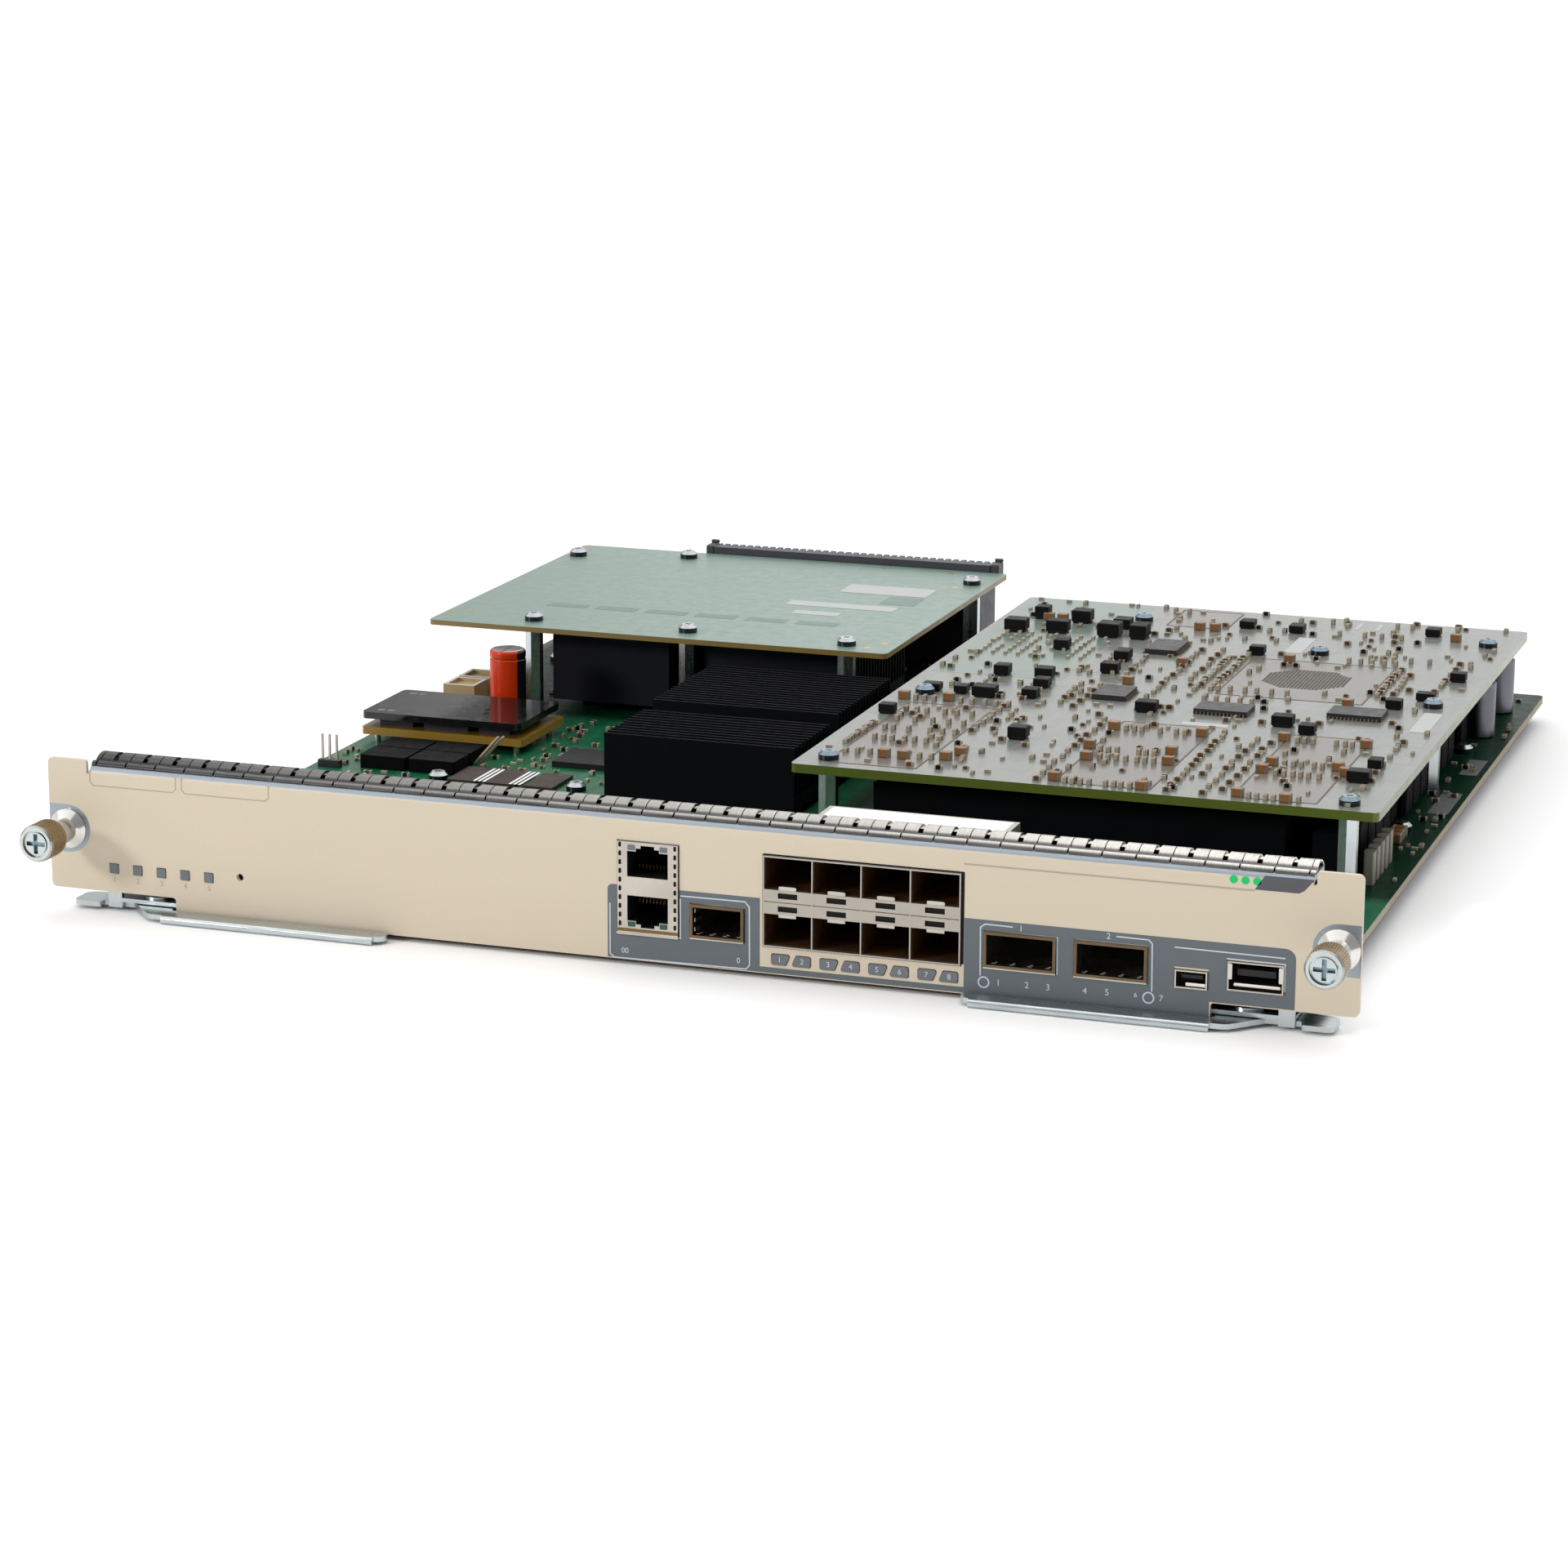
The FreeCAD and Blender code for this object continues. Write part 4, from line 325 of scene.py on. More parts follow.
def gasket_strip(name, colour):
    """Spring strip with painted shade at its foot and in the fold behind its bead, darker towards
    the module's left end.
    """
    made = Finish(name, Metallic=1.0)
    # Painted shade: the foot and the fold take the dark grey; the strip also darkens towards the
    # left end.
    along = made.ramp("X", -190.0, 150.0, 0.08, 1.0)
    foot = made.ramp("Y", GASKET_LOW.y + 0.25, GASKET_LOW.y + 0.7, 0.4, 1.0)
    fold = made.limits(made.away("Y", GASKET_LOW.y + 2.9), 0.5 * MM, 1.2 * MM, 0.2, 1.0)
    grain = made.noise((0.3, 5.0, 5.0), 3.0)
    streak = made.limits(grain, 0.3, 0.7, 0.7, 1.0)
    bright_share = made.times(made.times(along, streak), made.times(foot, fold))
    made.feed("Base Color", made.mix(bright_share, linear(44, 45, 49), colour))
    made.gloss(12.0, 0.2, 0.34)
    made.bump(grain, 0.006, 0.5)
    return made.material


def turned_knob(name, face, side):
    """Nickelled knob: bright turned face, painted shade in its sunk cross and ring, warm knurled
    side.
    """
    made = Finish(name, Metallic=1.0)
    front = made.limits(made.maths("ABSOLUTE", made.facing("Y")), 0.6, 0.8)
    rings = made.noise((0.4, 6.0, 0.4))
    squares = []
    for word in "XZ":
        away = made.maths("SUBTRACT", made.maths("ABSOLUTE", made.axis(word)),
                          getattr(middle("right_panel_screw"), word.lower()) * MM)
        squares.append(made.maths("POWER", away, 2.0))
    radius = made.maths("SQRT", made.maths("ADD", *squares))
    cross = made.limits(radius, 3.3 * MM, 3.2 * MM)
    ring = made.times(made.limits(radius, 4.25 * MM, 4.15 * MM),
                      made.limits(made.noise(5.0), 0.5, 0.56))
    face_y = edges("right_panel_screw")[0].y
    sunk = made.ramp("Y", face_y + 0.4, face_y + 0.7)
    # Painted shade: sunk faces of the driver cross and of a thin ring take a grey-blue.
    recess = made.times(made.maths("MAXIMUM", cross, ring), sunk)
    tone = made.mix(front, made.mix(rings, shade(side, 0.8), side), face)
    made.feed("Base Color", made.mix(recess, tone, linear(126, 144, 152)))
    made.gloss(2.0, 0.2, 0.34)
    made.bump(rings, 0.004, 0.4)
    return made.material


def caged(name, colour, inside_shade):
    """Cage steel, bright at the panel, with painted shade and warm reflection inside the openings.
    """
    made = Finish(name, Metallic=0.85)
    streak = made.noise((6.0, 0.25, 6.0), 3.0)
    inside = made.ramp("Y", STACK_LOW.y + 0.3, STACK_LOW.y + 2.2)
    roof = made.ramp("Z", STACK_HIGH.z - 0.1, STACK_HIGH.z - 0.2)
    centre = (STACK_LOW.x + STACK_HIGH.x) / 2
    half = STACK_HIGH.x - centre
    walls = made.limits(made.away("X", centre), (half - 0.1) * MM, (half - 0.2) * MM)
    rear = made.ramp("Y", STACK_HIGH.y - 0.1, STACK_HIGH.y - 0.2)
    # Painted shade and warm reflection: faces inside the openings take the dark brown colour.
    depth = made.times(made.times(inside, roof), made.times(walls, rear))
    tone = made.mix(made.limits(streak, 0.3, 0.7), shade(colour, 0.88), colour)
    made.feed("Base Color", made.mix(depth, tone, inside_shade))
    made.feed("Roughness", made.limits(streak, 0.3, 0.7, 0.26, 0.4))
    made.bump(streak, 0.006, 0.5)
    return made.material


def layered(name, low_colour, high_colour, height, metallic=0.0):
    """Two tones, one below and one above a height."""
    made = Finish(name)
    above = made.ramp("Z", height - 0.05, height + 0.05)
    low, high = made.clouds(3.0, low_colour, 0.85), made.clouds(1.5, high_colour, 0.85)
    made.feed("Base Color", made.mix(above, low, high))
    made.feed("Metallic", made.times(above, metallic))
    made.gloss(2.0, 0.3, 0.45)
    return made.material


def pan_head(name, colour):
    """Plated screw heads, bright on top, with painted shade round the rim."""
    made = Finish(name, Metallic=1.0)
    # Painted shade: faces that do not look up take a dark grey.
    top = made.limits(made.facing("Z"), 0.45, 0.85)
    made.feed("Base Color", made.mix(top, linear(58, 62, 66), made.clouds(0.8, colour, 0.85)))
    made.gloss(1.2, 0.18, 0.3)
    return made.material


def sleeved(name, colour, node):
    """Shrunk sleeve with a dark polarity stripe and a bare scored top."""
    high = edges(node)[1]
    made = Finish(name, Specular_IOR_Level=0.3, Roughness=0.22)
    stripe = made.ramp("X", high.x - 1.3, high.x - 1.2)
    body = made.mix(stripe, made.clouds(6.0, colour, 0.85, 1.1), linear(14, 13, 13))
    top = made.ramp("Z", high.z - 0.12, high.z - 0.06)
    lines = [made.limits(made.away(word, getattr(middle(node), word.lower())), 0.5 * MM, 0.25 * MM)
             for word in "XY"]
    metal = made.mix(made.maths("MAXIMUM", *lines), linear(150, 152, 156), linear(60, 60, 64))
    made.feed("Base Color", made.mix(top, body, metal))
    made.feed("Metallic", top)
    made.bump(made.noise(2.0), 0.01, 0.3)
    return made.material


def plated(name, colour, roughness=0.3, grain=(6.0, 0.25, 6.0), depth=0.006):
    """Plated steel with rolling marks along X and cloudy gloss."""
    made = Finish(name, Metallic=1.0)
    streak = made.noise(grain, 3.0)
    cloud = made.noise(14.0)
    tone = made.mix(made.limits(streak, 0.3, 0.7), shade(colour, 0.9), colour)
    made.feed("Base Color", made.mix(made.limits(cloud, 0.35, 0.75), tone, shade(colour, 0.82)))
    both = made.maths("ADD", streak, cloud)
    made.feed("Roughness", made.limits(both, 0.6, 1.4, roughness - 0.07, roughness + 0.1))
    made.bump(streak, depth, 0.5)
    return made.material


def moulded(name, colour, roughness=0.5, level=0.4, grain=0.25):
    """Moulded plastic with a spark-eroded grain."""
    made = Finish(name, Specular_IOR_Level=level)
    made.feed("Base Color", made.clouds(9.0, colour, 0.82, 1.12))
    made.gloss(3.0, roughness - 0.08, roughness + 0.08, 0.25)
    made.bump(made.noise(grain), 0.012, 0.4)
    return made.material


# Soft edge of the painted shade on the main board, in millimetres
SHADE_EDGE = 4.0


def board_mask(name, colour, edge, plane, track, roughness=0.32, dim=()):
    """Solder mask over copper: planes, bundles of tracks and vias, with laminate on the edges.

    Painted shade: the faces turn dark and matt behind and right of each given corner (x, y),
    where the raised boards shade the main board; faces that look down turn dark too.
    """
    made = Finish(name, Specular_IOR_Level=0.5)
    bricks = made.node("ShaderNodeTexBrick", {
        "Vector": made.scaled((9.0, 13.0, 9.0)), "Color1": colour, "Color2": plane,
        "Mortar": shade(colour, 0.82), "Scale": 1.0, "Mortar Size": 0.025, "Brick Width": 1.7,
        "Row Height": 0.9})
    patches = made.limits(made.noise(30.0), 0.35, 0.65)
    face = made.mix(patches, bricks.outputs["Color"], colour)
    lanes = made.limits(made.wave(1.1, "X"), 0.6, 0.75)
    bundle = made.limits(made.noise((5.0, 30.0, 5.0)), 0.56, 0.6)
    face = made.mix(made.times(lanes, bundle), face, track)
    cells = made.node("ShaderNodeTexVoronoi", {"Vector": made.scaled(2.6), "Scale": 1.0})
    vias = made.limits(cells.outputs["Distance"], 0.1, 0.07)
    face = made.mix(vias, face, shade(edge, 1.1))
    # Painted shade: faces that look down take a dark copy of the mask colour.
    underside_shade = made.limits(made.facing("Z"), -0.5, -0.6)
    face = made.mix(underside_shade, face, shade(colour, 0.15))
    # Painted shade: behind and right of each given corner the mask turns nearly black and loses its
    # gloss.
    if dim:
        under = 0.0
        for x, y in dim:
            right = made.ramp("X", x - SHADE_EDGE, x + SHADE_EDGE)
            behind = made.ramp("Y", y - SHADE_EDGE, y + SHADE_EDGE)
            under = made.maths("MAXIMUM", made.times(right, behind), under)
        face = made.mix(under, face, made.mix(0.8, face, shade(colour, 0.04)))
        made.feed("Specular IOR Level", made.limits(under, 0.0, 1.0, 0.28, 0.05))
    flat = made.limits(made.maths("ABSOLUTE", made.facing("Z")), 0.5, 0.6)
    rim = made.mix(made.wave(0.5, "Z"), shade(edge, 0.75), edge)
    made.feed("Base Color", made.mix(flat, rim, face))
    made.gloss(4.0, roughness - 0.06, roughness + 0.1, 0.3)
    made.bump(made.maths("ADD", lanes, made.noise(0.8)), 0.012, 0.3)
    return made.material


# Plain finishes by their maker: label, colour setting or screen colour, then the maker's values
PLAIN_FINISHES = {
    painted: {
        "print_grey": ("grey print", "print_grey", 0.45),
        "print_slate": ("slate print", (83, 84, 89), 0.45),
        "print_pale": ("pale print", "print_pale"),
        "print_brown": ("brown print", "print_brown"),
        "accent": ("green print", "accent", 0.4),
        "pad_field": ("pad field", (74, 67, 58), 0.55),
        "pad": ("bare copper lines", (84, 68, 54)),
        "mask_warm": ("warm mask", (112, 108, 103), 0.2),
        "mask_sage": ("sage mask", (110, 126, 116), 0.2),
        "mask_sage_dark": ("dark sage mask", (101, 124, 113), 0.4),
        "label": ("paper label", (226, 226, 226), 0.55),
        "label_soft": ("worn paper label", (176, 178, 178), 0.55),
        "label_dark": ("grey film label", (96, 100, 99)),
    },
    plated: {
        "bare": ("bare sheet", (158, 168, 176), 0.4, (8.0, 8.0, 0.4)),
        "zinc": ("zinc plate", "zinc", 0.27),
        "nickel": ("nickel plate", "nickel", 0.16, (3.0, 3.0, 3.0), 0.003),
        "cage": ("cage steel", "cage"),
        # Painted shade on the cages' front edges
        "cage_rim": ("cage rims", (116, 98, 78), 0.4),
        "bright": ("bright tin", (214, 210, 202), 0.24),
        "gold": ("gold contacts", (206, 168, 84), 0.25),
        "brass": ("brassy edge", (128, 104, 70), 0.4),
        "contact": ("shaded contacts", (74, 60, 34), 0.4),
        # Zinc darkened as painted shade, where the tray shows under the main board's edge
        "tray": ("tray zinc", (96, 93, 90), 0.36, (40.0, 0.5, 5.0)),
        "can": ("grey can", (120, 120, 128), 0.32),
    },
    moulded: {
        # Painted shade of driver recesses on the board screws
        "recess": ("driver recess", (34, 44, 54), 0.4),
        "shaded_beige": ("beige moulding in shade", (124, 123, 112)),
        "memory": ("brown chip moulding", (52, 41, 34), 0.5, 0.2, 0.15),
        "chip": ("chip moulding", (46, 43, 45), 0.45, 0.32, 0.15),
        "dark_chip": ("dark chip moulding", (30, 28, 30), 0.5, 0.15, 0.15),
        "dark_block": ("dark converter moulding", (8, 8, 9), 0.6, 0.05),
        "coil": ("coil block", (14, 13, 13), 0.5, 0.15),
        "cap": ("ceramic tan", (86, 61, 40), 0.4),
        "cap_pale": ("ceramic pale", (156, 143, 122), 0.4),
        "bulk": ("ceramic orange brown", (138, 92, 50), 0.4),
        "tin": ("tinned ends", (164, 153, 132), 0.4, 0.5),
        "tin_dull": ("dull tinned ends", (122, 110, 90), 0.45),
        "gap": ("shadow gap", (16, 13, 11), 0.6, 0.2),
        "lamp": ("green lamp window", (16, 74, 56), 0.25, 0.5, 1.0),
        "lens": ("grey lens", (101, 106, 111), 0.3, 0.5, 1.0),
        "black": ("black moulding", (20, 20, 21)),
        "gloss_black": ("gloss black cover", (16, 16, 17), 0.12, 0.5, 1.5),
        "grey_plastic": ("grey moulding", (62, 62, 68)),
        "sink": ("black anodised fins", (13, 14, 17), 0.65, 0.04, 0.4),
        "tall_sink": ("blue black fins", (26, 27, 34), 0.6, 0.1, 0.4),
    },
}
PIN_BASE = 2.6
SOCKET_TOP = 0.1


def make_finishes():
    """Every finish of the module by name."""
    colours = bpy.context.scene.module_finishes
    get = {word: tuple(getattr(colours, word)) for word in ModuleFinishes.__annotations__}
    made = {
        "paint": panel_paint("champagne paint", get["paint"], linear(152, 160, 168)),
        "spring": gasket_strip("spring strip", get["spring"]),
        "knob": turned_knob("knob nickel", linear(190, 198, 199), linear(166, 146, 118)),
        # Its last colour is painted shade and warm reflection inside the stacked cages.
        "stack": caged("stack steel", shade(get["cage"], 0.78), linear(150, 108, 68)),
        "header": layered("pins in a dark base", linear(8, 8, 9), linear(196, 192, 184),
                          BOARD_TOP + PIN_BASE, 1.0),
        "socket": layered("beige sockets with pale tops", linear(182, 160, 116),
                          linear(206, 204, 196), edges("board_headers")[1].z - SOCKET_TOP),
        "screw_head": pan_head("screw heads", linear(206, 210, 212)),
        "blue_head": pan_head("blue screw heads", linear(142, 160, 176)),
        "sleeve": sleeved("orange sleeve", get["sleeve"], "bulk_capacitor"),
        # The corners are the raised boards' front left ones; the main board gets painted shade
        # beyond them.
        "main_mask": board_mask("main board mask", get["main_mask"], linear(152, 136, 114),
                                shade(get["main_mask"], 1.25), linear(30, 110, 74),
                                dim=[(RIGHT_LOW.x, RIGHT_LOW.y), (LEFT_LOW.x, LEFT_LOW.y)]),
        "right_mask": board_mask("right board mask", get["right_mask"], linear(92, 104, 40),
                                 shade(get["right_mask"], 1.12), shade(get["right_mask"], 1.2),
                                 0.18),
        "left_mask": board_mask("left board mask", get["left_mask"], linear(134, 112, 58),
                                shade(get["left_mask"], 1.05), shade(get["left_mask"], 1.1)),
        "brown_board": board_mask("module laminate", linear(120, 92, 24), linear(150, 116, 40),
                                  linear(104, 80, 22), linear(150, 120, 50)),
    }
    for maker, rows in PLAIN_FINISHES.items():
        for key, (label, colour, *values) in rows.items():
            tone = get[colour] if isinstance(colour, str) else linear(*colour)
            made[key] = maker(label, tone, *values)
    return made


NODE_FINISH = {
    "paint": ["face_panel"],
    "zinc": ["left_lever", "right_lever", "lever_brackets", "lever_pivot_pins", "bracket_rivets",
             "right_mezzanine_posts", "left_mezzanine_posts", "tray_spacers"],
    "screw_head": ["left_mezzanine_screws", "board_screws"],
    "blue_head": ["right_mezzanine_screws"],
    "knob": ["left_panel_screw", "right_panel_screw"],
    "nickel": ["screw_ferrules", "left_screw_clip", "right_screw_clip", "left_screw_spring",
               "right_screw_spring"],
    "spring": ["top_gasket"],
    "cage": ["jack_shield", "serial_shells", "power_module_pins", "management_cage", "wide_cages"],
    "stack": ["stack_shell", "stack_shelves", "stack_dividers"],
    "header": ["pin_header"],
    "memory": ["memory_chips"],
    "dark_block": ["converter_blocks"],
    # Carrier tray in zinc darkened as painted shade
    "tray": ["carrier_tray"],
    "main_mask": ["main_board"],
    "right_mask": ["right_mezzanine_board"],
    "left_mask": ["left_mezzanine_board"],
    "black": ["jack_insert", "cage_connectors", "serial_tongues", "reset_switch", "reset_plunger",
              "board_links"],
    "grey_plastic": ["tall_backplane_connector", "low_backplane_connector"],
    "sink": ["front_heat_sink", "middle_heat_sink", "right_heat_sink"],
    "tall_sink": ["rear_left_heat_sink", "rear_right_heat_sink"],
    "chip": ["right_mezzanine_chips", "power_module_cores"],
    "dark_chip": ["board_chips"],
    "brown_board": ["power_module_board"],
    "gloss_black": ["power_module_plate"],
    "sleeve": ["bulk_capacitor"],
    "socket": ["board_headers"],
    "shaded_beige": ["edge_chokes"],
    "lens": ["status_lights", "port_lights"],
    "can": ["edge_cans"],
}
FINISHES = {}


def dress(mesh, finish):
    """Gives a mesh one finish in place of what it had."""
    mesh.materials.clear()
    mesh.materials.append(FINISHES[finish])


def added(name, data):
    """New object in the scene."""
    made = bpy.data.objects.new(name, data)
    bpy.context.scene.collection.objects.link(made)
    return made


def settle(name, mesh, finish, body="module"):
    """Object of a finished mesh that rides on a body."""
    made = added(name, mesh)
    dress(mesh, finish)
    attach(made, body)
    return made


def arc(u, v, radius, start, end, steps=6):
    """Points of an arc about (u, v), angles in quarter turns."""
    points = []
    for i in range(steps + 1):
        turn = (start + (end - start) * i / steps) * QUARTER
        points.append((u + radius * math.cos(turn), v + radius * math.sin(turn)))
    return points


def circle(u, v, radius, steps=16):
    """Closed loop of a circle."""
    return arc(u, v, radius, 0, 4, steps)[:-1]


def rounded(u0, v0, u1, v1, radius=0.0):
    """Closed loop of a rectangle from its lower left corner on."""
    if not radius:
        return [(u0, v0), (u1, v0), (u1, v1), (u0, v1)]
    low_u, low_v, high_u, high_v = u0 + radius, v0 + radius, u1 - radius, v1 - radius
    corners = [(low_u, low_v), (high_u, low_v), (high_u, high_v), (low_u, high_v)]
    loop = []
    for turn, (u, v) in enumerate(corners, 2):
        loop += arc(u, v, radius, turn, turn + 1)
    return loop


def ribbon(points, width):
    """Closed loop of a line of the given width through points."""
    left = []
    right = []
    for i, point in enumerate(points):
        here = Vector(point)
        back = (here - Vector(points[i - 1])).normalized() if i else None
        ahead = (Vector(points[i + 1]) - here).normalized() if i + 1 < len(points) else None
        along = ((back or ahead) + (ahead or back)).normalized()
        side = Vector((-along.y, along.x))
        reach = width / 2 / max(0.4, abs(along.dot(ahead or back)))
        left.append(tuple(here + side * reach))
        right.append(tuple(here - side * reach))
    return left + right[::-1]


def baked(holder):
    """Plain mesh of an object's evaluated geometry; the object is removed."""
    graph = bpy.context.evaluated_depsgraph_get()
    mesh = bpy.data.meshes.new_from_object(holder.evaluated_get(graph))
    bpy.data.objects.remove(holder)
    return mesh


def drawn(name, whole):
    """Mesh of a finished bmesh."""
    mesh = bpy.data.meshes.new(name)
    whole.to_mesh(mesh)
    whole.free()
    return mesh


PRINT_THICKNESS = 0.05


def filled(loops, thickness=PRINT_THICKNESS):
    """Flat solid of one outline; further loops are holes."""
    curve = bpy.data.curves.new("outline", "CURVE")
    curve.dimensions = "2D"
    curve.fill_mode = "BOTH"
    curve.extrude = thickness / 2
    for loop in loops:
        spline = curve.splines.new("POLY")
        spline.points.add(len(loop) - 1)
        for point, (u, v) in zip(spline.points, loop):
            point.co = (u, v, 0, 1)
        spline.use_cyclic_u = True
    return baked(added("outline", curve))


def numeral(text, size, u, v):
    """Flat solid of plain numerals centred on (u, v)."""
    curve = bpy.data.curves.new("numeral", "FONT")
    curve.body = text
    curve.size = size
    curve.align_x = "CENTER"
    curve.align_y = "CENTER"
    curve.extrude = PRINT_THICKNESS / 2
    mesh = baked(added("numeral", curve))
    mesh.transform(Matrix.Translation((u, v, 0)))
    return mesh


def plate(u0, v0, u1, v1, radius=0.3):
    """Flat rectangle with round corners."""
    return filled([rounded(u0, v0, u1, v1, radius)])


def patch(u, v, half_width, half_height, radius=0.3):
    """Flat rectangle about its middle."""
    return plate(u - half_width, v - half_height, u + half_width, v + half_height, radius)


def border(u0, v0, u1, v1, width, radius, inner_radius):
    """Flat rectangular frame."""
    hole = rounded(u0 + width, v0 + width, u1 - width, v1 - width, inner_radius)
    return filled([rounded(u0, v0, u1, v1, radius), hole])


def fields(rectangles, radius=0.3):
    """Flat rectangles (x0, y0, x1, y1) measured from the panel's front."""
    return [plate(x0, FRONT + y0, x1, FRONT + y1, radius) for x0, y0, x1, y1 in rectangles]


def on_ears(points):
    """Points (x, height over the ears' foot) in the panel's own heights."""
    return [(x, EAR_LOW + z) for x, z in points]


def gather(name, meshes, place):
    """One mesh of several, placed and turned from millimetres to metres."""
    whole = bmesh.new()
    for mesh in meshes:
        whole.from_mesh(mesh)
        bpy.data.meshes.remove(mesh)
    whole.transform(Matrix.Scale(MM, 4) @ place)
    bmesh.ops.recalc_face_normals(whole, faces=whole.faces[:])
    return drawn(name, whole)


def level_print(name, meshes, finish, height):
    """Joins flat meshes drawn in (x, y) millimetres at a height."""
    settle(name, gather(name, meshes, Matrix.Translation((0, 0, height))), finish)


def face_print(name, meshes, finish, depth):
    """Joins flat meshes drawn in (x, z) millimetres on an upright face at a depth."""
    upright = Matrix(((1, 0, 0, 0), (0, 0, 1, depth), (0, 1, 0, 0), (0, 0, 0, 1)))
    settle(name, gather(name, meshes, upright), finish)


def panel_print(name, meshes, finish, layer=1):
    """Print on the panel's front face; a higher layer lies over a lower one."""
    depth = FRONT - PRINT_THICKNESS * (layer - 0.5)
    face_print(name, meshes, finish, depth)


def node_tree(name, inputs, kinds):
    """Node group with its inputs, and its nodes by name."""
    tree = bpy.data.node_groups.new(name, "GeometryNodeTree")
    for word, kind in inputs.items():
        tree.interface.new_socket(word, in_out="INPUT", socket_type="NodeSocket" + kind)
    tree.interface.new_socket("Parts", in_out="OUTPUT", socket_type="NodeSocketGeometry")
    kinds = dict(kinds, given="NodeGroupInput", real="GeometryNodeRealizeInstances",
                 coat="GeometryNodeSetMaterial", result="NodeGroupOutput")
    return tree, {word: tree.nodes.new(kind) for word, kind in kinds.items()}


def wired(tree, nodes, wires):
    """Links (node, output, node, input) and ends in Realize Instances and Set Material."""
    ending = [("real", 0, "coat", "Geometry"), ("given", "Finish", "coat", "Material"),
              ("coat", 0, "result", 0)]
    for source, output, target, socket in wires + ending:
        tree.links.new(nodes[source].outputs[output], nodes[target].inputs[socket])
    return tree


def scatter_tree():
    """Node group that sets a shape on every point, turned and sized by the points' own values."""
    inputs = {"Points": "Geometry", "Shape": "Object", "Scale": "Float", "Finish": "Material"}
    kinds = {"shape": "GeometryNodeObjectInfo", "turn": "GeometryNodeInputNamedAttribute",
             "size": "GeometryNodeInputNamedAttribute", "spin": "FunctionNodeEulerToRotation",
             "grow": "ShaderNodeVectorMath", "placed": "GeometryNodeInstanceOnPoints"}
    tree, nodes = node_tree("scatter", inputs, kinds)
    nodes["grow"].operation = "SCALE"
    for word in ("turn", "size"):
        nodes[word].data_type = "FLOAT_VECTOR"
        nodes[word].inputs["Name"].default_value = word
    return wired(tree, nodes, [
        ("given", "Shape", "shape", "Object"), ("turn", "Attribute", "spin", 0),
        ("size", "Attribute", "grow", 0), ("given", "Scale", "grow", "Scale"),
        ("given", "Points", "placed", "Points"), ("shape", "Geometry", "placed", "Instance"),
        ("spin", 0, "placed", "Rotation"), ("grow", 0, "placed", "Scale"),
        ("placed", 0, "real", 0)])


SPRING_STEPS = 20
WIRE_SIDES = 8


def coil_tree():
    """Node group of a coil spring from its radius, wire, turns and height."""
    inputs = {"Base": "Geometry", "Radius": "Float", "Wire": "Float", "Turns": "Float",
              "Height": "Float", "Finish": "Material"}
    kinds = {"spiral": "GeometryNodeCurveSpiral", "ring": "GeometryNodeCurvePrimitiveCircle",
             "tube": "GeometryNodeCurveToMesh"}
    tree, nodes = node_tree("coil_spring", inputs, kinds)
    nodes["spiral"].inputs["Resolution"].default_value = SPRING_STEPS
    nodes["ring"].inputs["Resolution"].default_value = WIRE_SIDES
    nodes["tube"].inputs["Fill Caps"].default_value = True
    return wired(tree, nodes, [
        ("given", "Turns", "spiral", "Rotations"), ("given", "Height", "spiral", "Height"),
        ("given", "Radius", "spiral", "Start Radius"), ("given", "Radius", "spiral", "End Radius"),
        ("given", "Wire", "ring", "Radius"), ("spiral", 0, "tube", "Curve"),
        ("ring", 0, "tube", "Profile Curve"), ("tube", 0, "real", 0)])


def grown(name, base, tree, wanted):
    """Mesh that a node group makes on a base mesh; inputs are set by their sockets' identifiers."""
    holder = added(name, base)
    modifier = holder.modifiers.new("nodes", "NODES")
    modifier.node_group = tree
    for socket in tree.interface.items_tree:
        if socket.in_out == "INPUT" and socket.name in wanted:
            modifier[socket.identifier] = wanted[socket.name]
    return baked(holder)


def lay(name, shape, places, finish, body="module"):
    """Sets a shape on places (x, y, z, turns, sizes) with the scatter group and bakes one mesh."""
    points = bpy.data.meshes.new(name)
    points.from_pydata([[value * MM for value in place[:3]] for place in places], [], [])
    for word, column in (("turn", 3), ("size", 4)):
        values = points.attributes.new(word, "FLOAT_VECTOR", "POINT").data
        for value, place in zip(values, places):
            value.vector = place[column]
    source = added("shape", shape)
    tree = bpy.data.node_groups.get("scatter") or scatter_tree()
    inputs = {"Shape": source, "Scale": MM, "Finish": FINISHES[finish]}
    mesh = grown(name, points, tree, inputs)
    bpy.data.objects.remove(source)
    return settle(name, mesh, finish, body)


def blocks(boxes, bevel=0.0):
    """Mesh of chamfered blocks (x0, x1, y0, y1, z0, z1)."""
    whole = bmesh.new()
    for x0, x1, y0, y1, z0, z1 in boxes:
        made = bmesh.ops.create_cube(whole, size=1.0)["verts"]
        for vert in made:
            vert.co = ((x0 + x1) / 2 + vert.co.x * (x1 - x0), (y0 + y1) / 2 + vert.co.y * (y1 - y0),
                       (z0 + z1) / 2 + vert.co.z * (z1 - z0))
        if bevel:
            around = list({edge for vert in made for edge in vert.link_edges})
            bmesh.ops.bevel(whole, geom=around, offset=bevel, segments=1, affect="EDGES")
    return drawn("blocks", whole)


